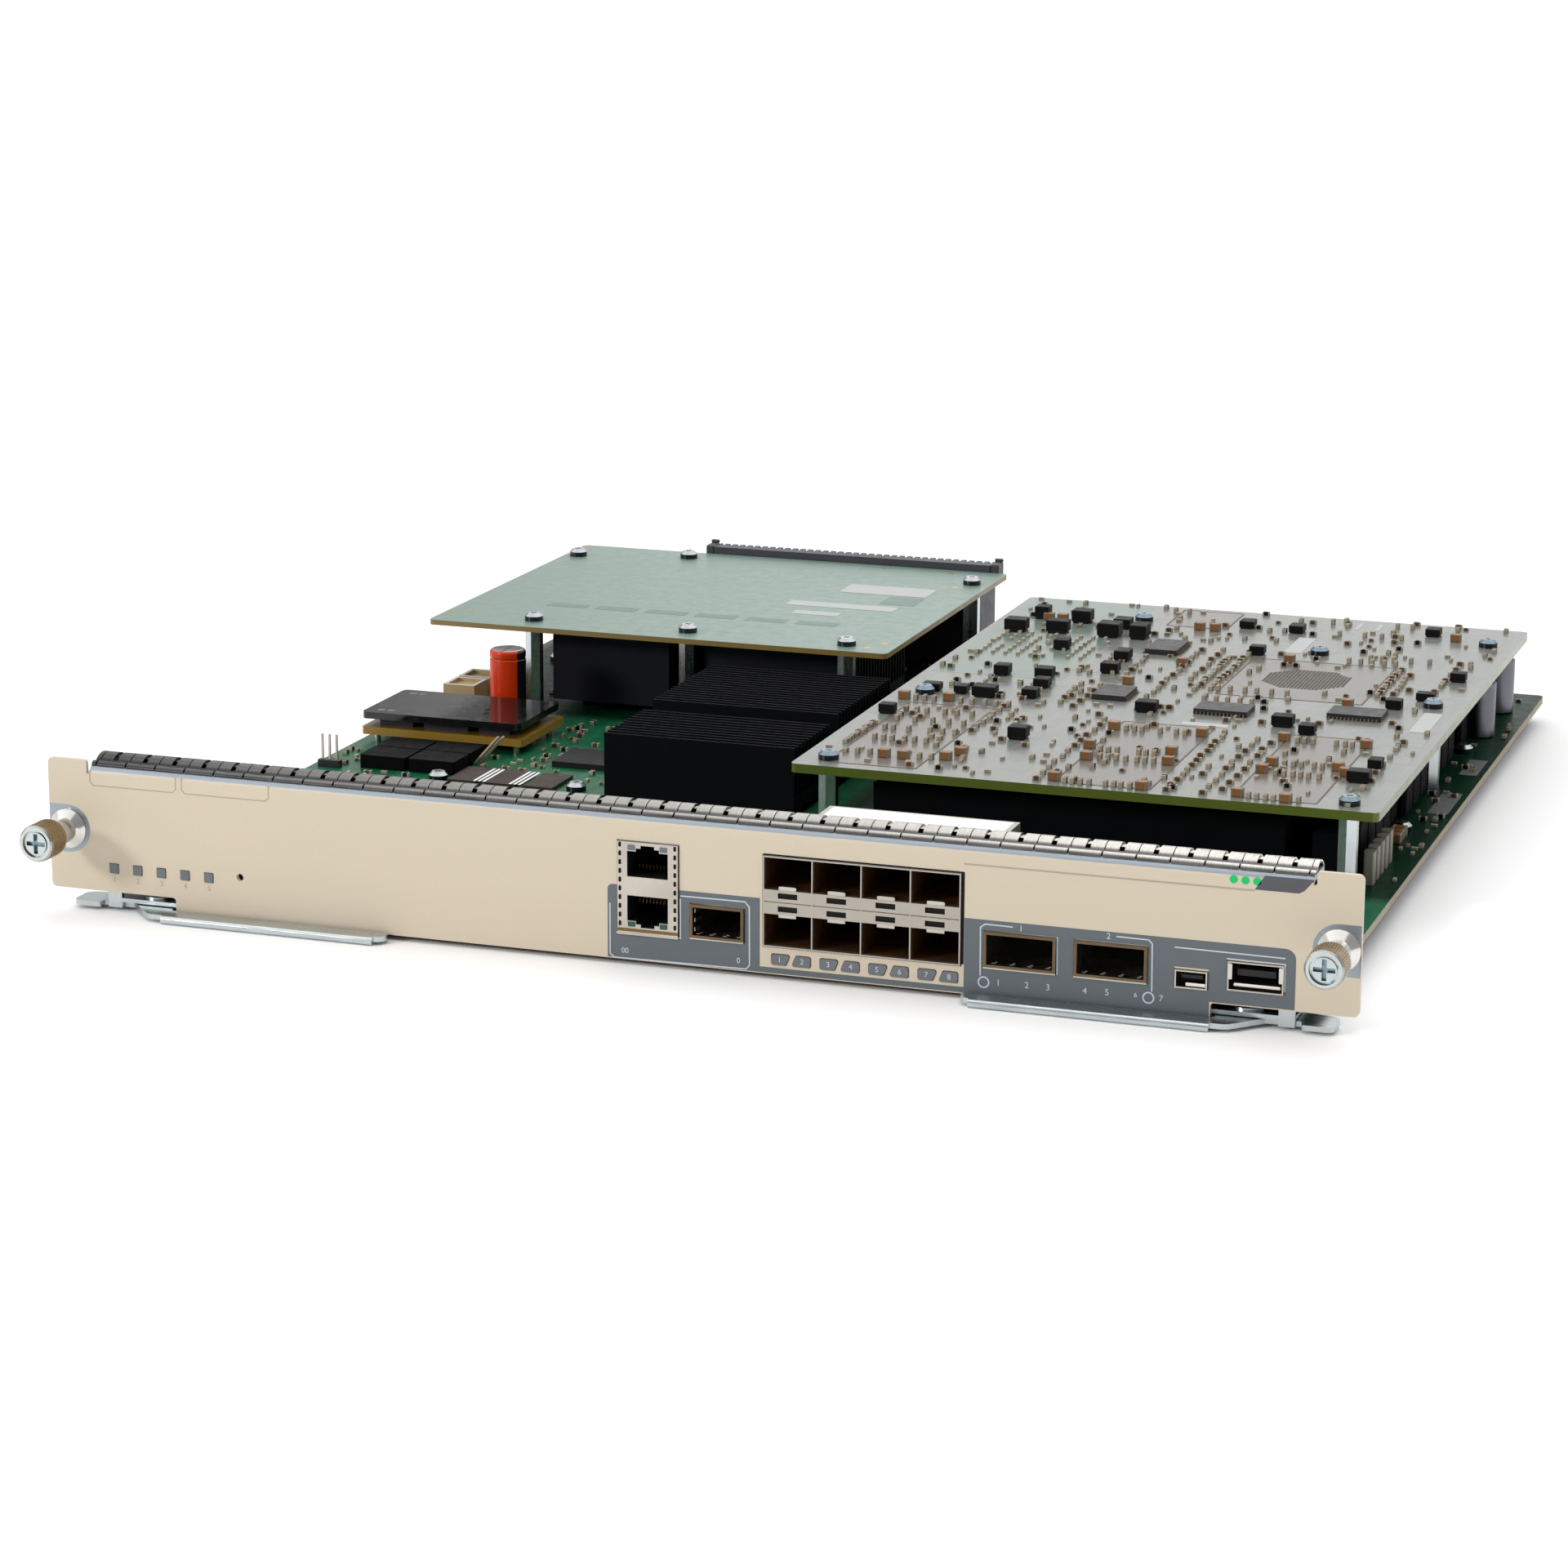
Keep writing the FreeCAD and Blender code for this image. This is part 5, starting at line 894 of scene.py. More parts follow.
def spun(profile, sides=12):
    """Mesh of a turned shape about Z from (radius, height) points."""
    whole = bmesh.new()
    turns = [2 * math.pi * (i + 0.5) / sides for i in range(sides)]
    rings = [[whole.verts.new((radius * math.cos(turn), radius * math.sin(turn), height))
              for turn in turns] for radius, height in profile]
    for low, high in zip(rings, rings[1:]):
        for i in range(sides):
            whole.faces.new((low[i - 1], low[i], high[i], high[i - 1]))
    whole.faces.new(rings[0][::-1])
    whole.faces.new(rings[-1])
    bmesh.ops.recalc_face_normals(whole, faces=whole.faces[:])
    return drawn("spun", whole)


LEVEL = (0.0, 0.0, 0.0)
ACROSS = (0.0, 0.0, QUARTER)
ONE = (1.0, 1.0, 1.0)


def grid(x, y, z, x_pitch, y_pitch, columns, rows):
    """Places in rows and columns from a first place."""
    return [(x + x_pitch * i, y + y_pitch * j, z, LEVEL, ONE)
            for i in range(columns) for j in range(rows)]


def chip_parts(name, places, finish):
    """Chip parts with tinned ends; places are (x, y, z, along, length, width, height)."""
    rows = [(x, y, z, ACROSS if along else LEVEL, tuple(size)) for x, y, z, along, *size in places]
    body = blocks([(-0.34, 0.34, -0.48, 0.48, 0.03, 0.97)], 0.06)
    ends = blocks([(-0.5, -0.3, -0.5, 0.5, 0.0, 1.0), (0.3, 0.5, -0.5, 0.5, 0.0, 1.0)], 0.05)
    lay(name, body, rows, finish)
    lay(name + "_ends", ends, rows, "tin_dull" if finish == "bulk" else "tin")


# Grey field, in the panel's own heights
FIELD_LEFT = -19.2
FIELD_RIGHT = 178.1
FIELD_TOP = 23.3
FIELD_CORNER = 3.0
FIELD_MARGIN = 0.3
ISLAND_MARGIN = 1.0
ISLAND_DROP = 5.5
NOTCH_X = 155.0
PORT_GAP = 0.3
SERIAL_RISE = 0.7
SMALL_HEIGHT = 5.1


def port_hole(x0, x1, z0, z1):
    """Loop round an opening, with a gap on every side."""
    return rounded(x0 - PORT_GAP, z0 - PORT_GAP, x1 + PORT_GAP, z1 + PORT_GAP)


def grey_field():
    """Printed field behind the ports, with their openings and the bare island round the stack."""
    low, notch = PANEL_LOW.z + FIELD_MARGIN, EAR_LOW + FIELD_MARGIN
    step = NOTCH_X - FIELD_MARGIN
    outer = [(FIELD_LEFT, low), (step, low), (step, notch), (FIELD_RIGHT, notch)]
    outer += arc(FIELD_RIGHT - FIELD_CORNER, FIELD_TOP - FIELD_CORNER, FIELD_CORNER, 0, 1)
    cuts = [(STACK_LOW.x - ISLAND_MARGIN, STACK_HIGH.x + ISLAND_MARGIN, STACK_LOW.z - ISLAND_DROP),
            (JACK_LOW.x - PORT_GAP, JACK_HIGH.x + PORT_GAP, JACK_LOW.z - PORT_GAP)]
    for left, right, foot in cuts:
        outer += [(right, FIELD_TOP), (right, foot), (left, foot), (left, FIELD_TOP)]
    small = FIELD_CORNER / 2
    outer += arc(FIELD_LEFT + small, FIELD_TOP - small, small, 1, 2)
    holes = [port_hole(x0, x1, PORT_LOW, top) for x0, x1, top in CAGES]
    holes.append(port_hole(SERIAL_HIGH.x - SERIAL_SHELL, SERIAL_HIGH.x, PORT_LOW + SERIAL_RISE,
                           SERIAL_HIGH.z))
    holes.append(port_hole(SERIAL_LOW.x, SERIAL_LOW.x + SMALL_SHELL, PORT_LOW,
                           PORT_LOW + SMALL_HEIGHT))
    return filled([outer] + holes)


# Prints as (x, height over the ears' foot); numerals also have a size
FINE_LINES = [
    [(-18.5, 11.6), (-18.5, -3.2), (-17.3, -4.2), (22.3, -3.8), (23.3, -2.6), (23.2, 14.3),
     (21.9, 15.7), (2.7, 15.6)],
    [(2.7, 14.8), (2.7, 3.2), (-1.2, 3.2)],
    [(-13.4, 3.2), (-16.6, 3.2)],
    [(90.4, 1.2), (90.3, 15.0), (91.6, 16.0), (99.5, 15.9)],
    [(112.2, 3.6), (112.1, 14.3)],
    [(128.6, 16.1), (137.6, 16.0), (138.6, 15.0), (138.8, 1.5)],
    [(144.8, 14.7), (175.2, 14.5)],
    [(159.2, 12.9), (175.2, 12.8), (175.3, 5.2)],
]
FINE_RINGS = [(91.4, -0.6), (137.9, -0.3)]
FINE_NUMERALS = [
    ("1", 101.8, 15.6, 2.4), ("2", 126.4, 15.9, 2.4), ("1", 95.6, -0.4, 2.5),
    ("2", 103.7, -0.3, 2.5), ("3", 109.7, -0.3, 2.5), ("4", 120.1, -0.2, 2.5),
    ("5", 126.3, 0.0, 2.5), ("6", 134.3, 0.1, 1.9), ("7", 141.4, -0.2, 2.5), ("0", 20.0, -1.6, 2.2),
    ("00", -14.0, -2.0, 2.2)]
BROWN_LINES = [
    [(-181.9, 36.4), (-181.9, 33.0), (-180.9, 31.9), (-155.0, 31.9), (-154.0, 33.0),
     (-154.0, 36.4)],
    [(-152.1, 36.4), (-152.1, 33.0), (-151.1, 31.9), (-125.2, 31.9), (-124.2, 33.0),
     (-124.2, 36.4)],
]
BAR_LINE = [(85.3, 32.5), (166.2, 32.5)]
BAR_LINE_WIDTH = 0.5
SLANTED_BAR = [(168.9, 36.9), (182.4, 36.9), (179.6, 33.6), (178.2, 32.8), (166.2, 32.8)]
DOT_START = 160.4
DOT_PITCH = 3.2
DOT_HEIGHT = 35.1
STATUS_PITCH = 7.7
STATUS_HEIGHT = 3.9
LIGHT_PITCH = 14.25
LIGHT_PAIR = 6.6
LIGHT_LAYER = 7
PATCH_RADIUS = 7.2
PATCH_HOLE = 6.0


def line(points, width):
    """Printed line through (x, height over the ears' foot)."""
    return filled([ribbon(on_ears(points), width)])


def ear_patch(name, side):
    """Bare metal round a captive screw, open to the ear's outer edge."""
    centre = middle(name)
    x, z = centre.x, centre.z
    reach = side * (PANEL_HIGH.x - 0.2)
    loop = [(u * side + x, v) for u, v in arc(0, z, PATCH_RADIUS, 1, 3, 16)]
    loop += [(reach, z - PATCH_RADIUS), (reach, z + PATCH_RADIUS)]
    return filled([loop, circle(x, z, PATCH_HOLE, 24)])


class MODULE_OT_finishes(bpy.types.Operator):
    """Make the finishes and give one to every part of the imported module"""
    bl_idname = "module.finishes"
    bl_label = "Finishes"

    def execute(self, context):
        FINISHES.update(make_finishes())
        bare = set(NODES)
        for finish, names in NODE_FINISH.items():
            for name in names:
                dress(NODES[name].data, finish)
                bare.discard(name)
        if bare:
            raise RuntimeError("parts without a finish: " + ", ".join(sorted(bare)))
        return {"FINISHED"}


class MODULE_OT_panel_prints(bpy.types.Operator):
    """Print the grey field, lines and numerals on the face panel"""
    bl_idname = "module.panel_prints"
    bl_label = "Panel prints"

    def execute(self, context):
        sizes = context.scene.module_sizes
        height = sizes.numeral / MM
        panel_print("panel_grey_field", [grey_field()], "print_grey")
        pale = [line(points, sizes.fine_line / MM) for points in FINE_LINES]
        pale += [filled([circle(x, z, 1.7), circle(x, z, 1.3)]) for x, z in on_ears(FINE_RINGS)]
        pale += [numeral(text, size, x, EAR_LOW + z) for text, x, z, size in FINE_NUMERALS]
        panel_print("panel_pale_lines", pale, "print_pale", 2)
        brown = [line(points, sizes.brown_line / MM) for points in BROWN_LINES]
        brown.append(line(BAR_LINE, BAR_LINE_WIDTH))
        status = middle("status_lights")
        brown += [numeral(str(i + 1), height, status.x + (i - 2) * STATUS_PITCH,
                          EAR_LOW + STATUS_HEIGHT) for i in range(5)]
        panel_print("panel_brown_lines", brown, "print_brown")
        dots = [(DOT_START + DOT_PITCH * i, DOT_HEIGHT) for i in range(3)]
        panel_print("panel_accent_dots", [filled([circle(x, z, 1.15)]) for x, z in on_ears(dots)],
                    "accent")
        panel_print("panel_slanted_bar", [filled([on_ears(SLANTED_BAR)])], "print_slate")
        patches = [ear_patch("left_panel_screw", -1), ear_patch("right_panel_screw", 1)]
        panel_print("panel_bare_patches", patches, "bare")
        self.port_marks(height)
        return {"FINISHED"}

    def port_marks(self, height):
        """Numerals on the lights of the stacked ports and the shadow gap beside the stack."""
        lights = middle("port_lights")
        pills = []
        for i in range(8):
            pair, half = divmod(i, 2)
            x = lights.x + (pair - 1.5) * LIGHT_PITCH + (half - 0.5) * LIGHT_PAIR
            pills.append(numeral(str(i + 1), height, x, lights.z))
        panel_print("port_light_numerals", pills, "print_pale", LIGHT_LAYER)
        side, top = STACK_HIGH.x, STACK_HIGH.z
        gap = [(side + 0.1, STACK_LOW.z + 1.0), (side + 0.9, STACK_LOW.z + 1.0),
               (side + 0.9, top + 0.5), (STACK_LOW.x, top + 0.5), (STACK_LOW.x, top + 0.1),
               (side + 0.1, top + 0.1)]
        panel_print("stack_shadow_gap", [filled([gap])], "gap")


# Gasket leaf and port fittings
ARCH_START = 2.0
LEAF_GAP = 0.62
LEAF_SHEET = 0.1
LEAF_ENDS = (0.46, 1.17)
JACK_LIGHTS = 4.8
DIMPLE_PITCH = 2.55
CONTACT_PITCH = 1.05
RIM = 0.8
FINGER_INSET = 0.9


class MODULE_OT_port_fittings(bpy.types.Operator):
    """Fit the gasket's leaf, and contacts, windows, painted shade of dimples, latch tabs and
    painted shade of holes to the ports
    """
    bl_idname = "module.port_fittings"
    bl_label = "Port fittings"

    def gasket(self):
        """Inner leaf of the gasket, which shows through the slits of its arch."""
        half = (GASKET_HIGH.y - GASKET_LOW.y - ARCH_START) / 2
        rise = GASKET_HIGH.z - GASKET_LOW.z
        radius = (half ** 2 + rise ** 2) / (2 * rise)
        y, z = GASKET_HIGH.y - half, GASKET_HIGH.z - radius
        outer = arc(y, z, radius - LEAF_GAP, *LEAF_ENDS, 10)
        inner = arc(y, z, radius - LEAF_GAP - LEAF_SHEET, *LEAF_ENDS, 10)
        leaf = filled([outer + inner[::-1]], GASKET_HIGH.x - GASKET_LOW.x - 0.4)
        along = Matrix(((0, 0, 1, 0), (1, 0, 0, 0), (0, 1, 0, 0), (0, 0, 0, 1)))
        settle("gasket_leaf", gather("gasket_leaf", [leaf], along), "spring")

    def jack(self):
        """Windows, lamps, painted shade of the dimples, lower rim and contacts of the network jack.
        """
        front = JACK_LOW.y - PRINT_THICKNESS
        centre = (JACK_LOW.x + JACK_HIGH.x) / 2
        for name, finish, height, half in (("jack_windows", "lens", 28.5, 0.8),
                                           ("jack_lamps", "lamp", 6.15, 0.75)):
            panes = [patch(centre + side * JACK_LIGHTS, EAR_LOW + height, 1.15, half)
                     for side in (-1, 1)]
            face_print(name, panes, finish, front)
        # Painted shade: dark flat patches stand for the dimples in the shield.
        pits = [patch(x, EAR_LOW + 6.2 + DIMPLE_PITCH * i, 0.4, 0.75, 0.38)
                for x in (JACK_LOW.x + 0.75, JACK_HIGH.x - 0.85) for i in range(10)]
        face_print("jack_dimples", pits, "gap", front)
        rim = plate(JACK_LOW.x, EAR_LOW + 3.95, JACK_HIGH.x, EAR_LOW + 4.85, 0.2)
        face_print("jack_bottom_rim", [rim], "brass", front)
        wire = blocks([(-0.16, 0.16, 0.0, 9.0, -0.15, 0.15),
                       (-0.16, 0.16, -0.15, 0.15, -0.15, 1.6)], 0.04)
        rows = [(centre + (i - 3.5) * CONTACT_PITCH, JACK_LOW.y + 4.0, EAR_LOW + height,
                 (side * 0.3, 0, 0), (1, 1, side))
                for height, side in ((21.4, 1), (13.2, -1)) for i in range(8)]
        lay("jack_contacts", wire, rows, "contact")

    def stack(self):
        """Latch tabs and label of the stacked cages, and on the cages' tops ribs and painted shade
        for holes.
        """
        pitch = (STACK_HIGH.x - STACK_LOW.x) / 4
        columns = [STACK_LOW.x + pitch * (i + 0.5) for i in range(4)]
        low, high = (corner.z for corner in edges("stack_shelves"))
        tab = blocks([(-2.6, 2.6, 0.0, 0.35, 0.0, 1.1), (-2.1, 2.1, 0.3, 3.4, 0.75, 1.1)], 0.12)
        rows = [(x, STACK_LOW.y + 0.1, z, LEVEL, (1, 1, side))
                for z, side in ((high - 0.1, 1), (low + 0.1, -1)) for x in columns]
        lay("stack_latch_tabs", tab, rows, "cage")
        shadows = [patch(x, z, 2.8, 0.75, 0.1) for z in (high - 1.6, low + 1.6) for x in columns]
        face_print("stack_latch_shadows", shadows, "gap", STACK_LOW.y + 0.5)
        label = plate(STACK_LOW.x + 1.5, STACK_HIGH.y - 12.5, STACK_HIGH.x - 1.5,
                      STACK_HIGH.y - 1.0)
        level_print("stack_label", [label], "label", STACK_HIGH.z + 0.03)
        # Painted shade: thin dark discs stand for the vent holes.
        spots = grid(STACK_LOW.x + 4.0, STACK_LOW.y + 16.0, STACK_HIGH.z, 3.7, 4.2, 14, 7)
        spots += grid(MANAGEMENT_LOW.x + 2.6, MANAGEMENT_LOW.y + 18.0, MANAGEMENT_HIGH.z, 3.6, 4.2,
                      4, 9)
        lay("cage_vent_holes", spun([(0.9, 0.0), (0.9, 0.04)], 8), spots, "gap")
        rib = blocks([(-0.3, 0.3, 0.0, 7.0, 0.0, 0.25)], 0.1)
        ribs = []
        for x, step in ((WIDE_LOW.x + 2.0, 2.1), (WIDE_HIGH.x - 2.0, -2.1)):
            ribs += grid(x, WIDE_LOW.y + 20.0, WIDE_HIGH.z, step, 9.5, 9, 4)
        lay("wide_cage_ribs", rib, ribs, "cage")

    def rims(self):
        """Flat rims and spring fingers of the single cages."""
        rims = []
        fingers = []
        finger = blocks([(-0.6, 0.6, 0.0, 2.6, -0.12, 0.12), (-0.45, 0.45, 2.4, 4.2, -0.3, 0.0)],
                        0.08)
        for x0, x1, high in CAGES:
            rims.append(border(x0, PORT_LOW, x1, high, RIM, 0.3, 0.2))
            for i in range(4):
                x = x0 + (x1 - x0) * (i + 0.5) / 4
                for z, turn in ((high - FINGER_INSET, (-0.2, 0, 0)),
                                (PORT_LOW + FINGER_INSET, (0.2, math.pi, 0))):
                    fingers.append((x, STACK_LOW.y + 1.4, z, turn, ONE))
        step = (MANAGEMENT_HIGH.z - MANAGEMENT_LOW.z) / 4
        for i in range(3):
            z = MANAGEMENT_LOW.z + step * (i + 1.2)
            for x, turn in ((MANAGEMENT_LOW.x + 1.0, (0, QUARTER, -0.25)),
                            (MANAGEMENT_HIGH.x - 1.0, (0, -QUARTER, 0.25))):
                fingers.append((x, STACK_LOW.y + 1.2, z, turn, ONE))
        # The flat rims carry painted shade on the cages' front edges.
        face_print("cage_rims", rims, "cage_rim", MANAGEMENT_LOW.y - PRINT_THICKNESS)
        lay("cage_fingers", finger, fingers, "bright")

    def serial(self):
        """Side tabs of the full-size serial socket and the lips of both."""
        front = SERIAL_LOW.y + 0.2
        x0, x1 = SERIAL_HIGH.x - SERIAL_SHELL, SERIAL_HIGH.x
        z0, z1 = EAR_LOW + 5.0, EAR_LOW + 12.3
        tabs = [plate(x, z0 + 2.4, x + 1.2, z1 - 0.5) for x in (x0 + 0.1, x1 - 1.3)]
        face_print("serial_side_tabs", tabs, "bright", SERIAL_LOW.y - PRINT_THICKNESS)
        small = SERIAL_LOW.x
        for name, box, bevel in (
                ("serial_lip", (x0 + 1.4, x1 - 0.6, front, front + 3.0, z0 + 0.25, z0 + 1.35), 0.4),
                ("small_serial_lip", (small + 2.8, small + SMALL_SHELL - 0.3, front, front + 2.0,
                                      EAR_LOW + 4.0, EAR_LOW + 5.1), 0.3)):
            lip = blocks([box], bevel)
            lip.transform(Matrix.Scale(MM, 4))
            settle(name, lip, "bright")

    def execute(self, context):
        self.gasket()
        self.jack()
        self.stack()
        self.rims()
        self.serial()
        return {"FINISHED"}


THREAD_TURNS = 12
THREAD_END = 0.8
KNURL_START = 0.9


class MODULE_OT_captive_screws(bpy.types.Operator):
    """Knurl the captive screws, cut the thread on their tips and coil their springs"""
    bl_idname = "module.captive_screws"
    bl_label = "Captive screws"

    def spring(self, side, tree, sizes):
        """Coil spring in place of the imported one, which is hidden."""
        low, high = edges(side + "_screw_spring")
        reach = high.y - low.y
        wire = sizes.spring_wire / MM
        name = side + "_coil_spring"
        mesh = grown(name, bpy.data.meshes.new("base"), tree, {
            "Radius": ((high.x - low.x) / 2 - wire) * MM, "Wire": wire * MM,
            "Turns": float(sizes.spring_turns), "Height": (reach - 2 * wire) * MM,
            "Finish": FINISHES["nickel"]})
        place = Vector(((low.x + high.x) / 2, low.y + wire, (low.z + high.z) / 2)) * MM
        mesh.transform(Matrix.Translation(place) @ Matrix.Rotation(-QUARTER, 4, "X"))
        made = settle(name, mesh, "nickel")
        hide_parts(side + "_screw_spring")
        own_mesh(made)

    def execute(self, context):
        ridge = blocks([(-0.22, 0.22, 0.0, 7.4, -0.3, 0.22)], 0.09)
        thread = spun([(1.95, 0.0), (2.25, 0.2), (2.25, 0.3), (1.95, 0.5)], 20)
        tree = coil_tree()
        sizes = context.scene.module_sizes
        pitch = sizes.thread_pitch / MM
        for side in ("left", "right"):
            self.spring(side, tree, sizes)
            low, high = edges(side + "_panel_screw")
            x, z = (low.x + high.x) / 2, (low.z + high.z) / 2
            radius = (high.x - low.x) / 2
            rows = []
            for i in range(sizes.knurl_ridges):
                turn = 2 * math.pi * i / sizes.knurl_ridges
                rows.append((x + radius * math.sin(turn), low.y + KNURL_START,
                             z + radius * math.cos(turn), (0, turn, 0), ONE))
            lay(side + "_knurl", ridge, rows, "knob", body=side + "_screw")
            rows = [(x, high.y - THREAD_END - pitch * i, z, (QUARTER, 0, 0), ONE)
                    for i in range(THREAD_TURNS)]
            lay(side + "_thread", thread, rows, "nickel", body=side + "_screw")
        return {"FINISHED"}


class Layout:
    """Places of small parts on a board that keep clear of each other and of the larger parts."""

    def __init__(self, seed, top, taken=()):
        self.dice = random.Random(seed)
        self.top = top
        self.taken = list(taken)
        self.lots = {}

    def put(self, lot, x, y, along, size):
        """One part at (x, y) millimetres from the panel's middle and front."""
        self.taken.append((x, y, size[0] / 2, size[0] / 2))
        self.lots.setdefault(lot, []).append((x, FRONT + y, self.top, along) + size)

    def row(self, lot, xs, y, size):
        """Parts side by side, a little out of line."""
        for x in xs:
            self.put(lot, x + self.dice.uniform(-0.15, 0.15), y + self.dice.uniform(-0.3, 0.3),
                     True, size)

    def column(self, lot, x, y0, y1, pitch, size):
        """Parts behind each other, turned either way."""
        for i in range(int((y1 - y0) / pitch) + 1):
            self.put(lot, x + self.dice.uniform(-0.5, 0.5), y0 + i * pitch,
                     self.dice.random() < 0.5, size)

    def strew(self, x0, x1, y0, y1, count, lots):
        """Seeded parts in a rectangle, where there is room."""
        for _ in range(count * 6):
            x, y = self.dice.uniform(x0, x1), self.dice.uniform(y0, y1)
            lot, size = self.dice.choice(lots)
            reach = size[0] / 2 + 0.5
            if count and all(abs(x - u) > a + reach or abs(y - v) > b + reach
                             for u, v, a, b in self.taken):
                self.put(lot, x, y, self.dice.random() < 0.5, size)
                count -= 1

    def bake(self, name):
        """Makes the pieces, one pair for each lot."""
        for lot, places in self.lots.items():
            chip_parts(name + "_" + lot, places, lot)


# Length, width and height of chip parts
SMALL = (1.9, 1.1, 0.9)
MIDDLE = (2.5, 1.5, 1.3)
BULK = (3.6, 2.8, 2.7)
EDGE_BULK = (4.6, 3.8, 3.0)
ROW_CAP = (2.3, 1.3, 1.8)
MIXED = [("cap", SMALL), ("cap_pale", SMALL), ("cap", MIDDLE), ("coil", MIDDLE)]
WITH_BULKS = MIXED + [("bulk", BULK)]
LEAD_PITCH = 1.27
PAD_PITCH = 1.2
# Heights of flat prints over a board, from the lowest to the highest
FIELD_RISE = 0.005
PLANE_RISE = 0.01
MARK_RISE = 0.03
PAD_RISE = 0.04
LABEL_RISE = 0.05
LINE_RISE = 0.06


def lead_rows(x, y, z, width, depth, sideways):
    """Places of leads on two facing sides of a chip, the left and right ones if sideways."""
    rows = []
    side, reach = (depth, width / 2) if sideways else (width, depth / 2)
    start = -QUARTER if sideways else 0.0
    leads = int(side / LEAD_PITCH)
    for turn, out in ((start, reach), (start + math.pi, -reach)):
        for i in range(leads):
            along = (i - (leads - 1) / 2) * LEAD_PITCH
            u, v = (out, along) if sideways else (along, out)
            rows.append((x + u, y + v, z, (0, 0, turn), ONE))
    return rows


def grid_pads(x, y, z, width, depth, corner):
    """Places of a pad field with cut corners."""
    pads = []
    for i in range(int(width / PAD_PITCH) + 1):
        for j in range(int(depth / PAD_PITCH) + 1):
            u, v = i * PAD_PITCH - width / 2, j * PAD_PITCH - depth / 2
            if abs(u) + abs(v) < (width + depth) / 2 - corner:
                pads.append((x + u, y + v, z, LEVEL, ONE))
    return pads


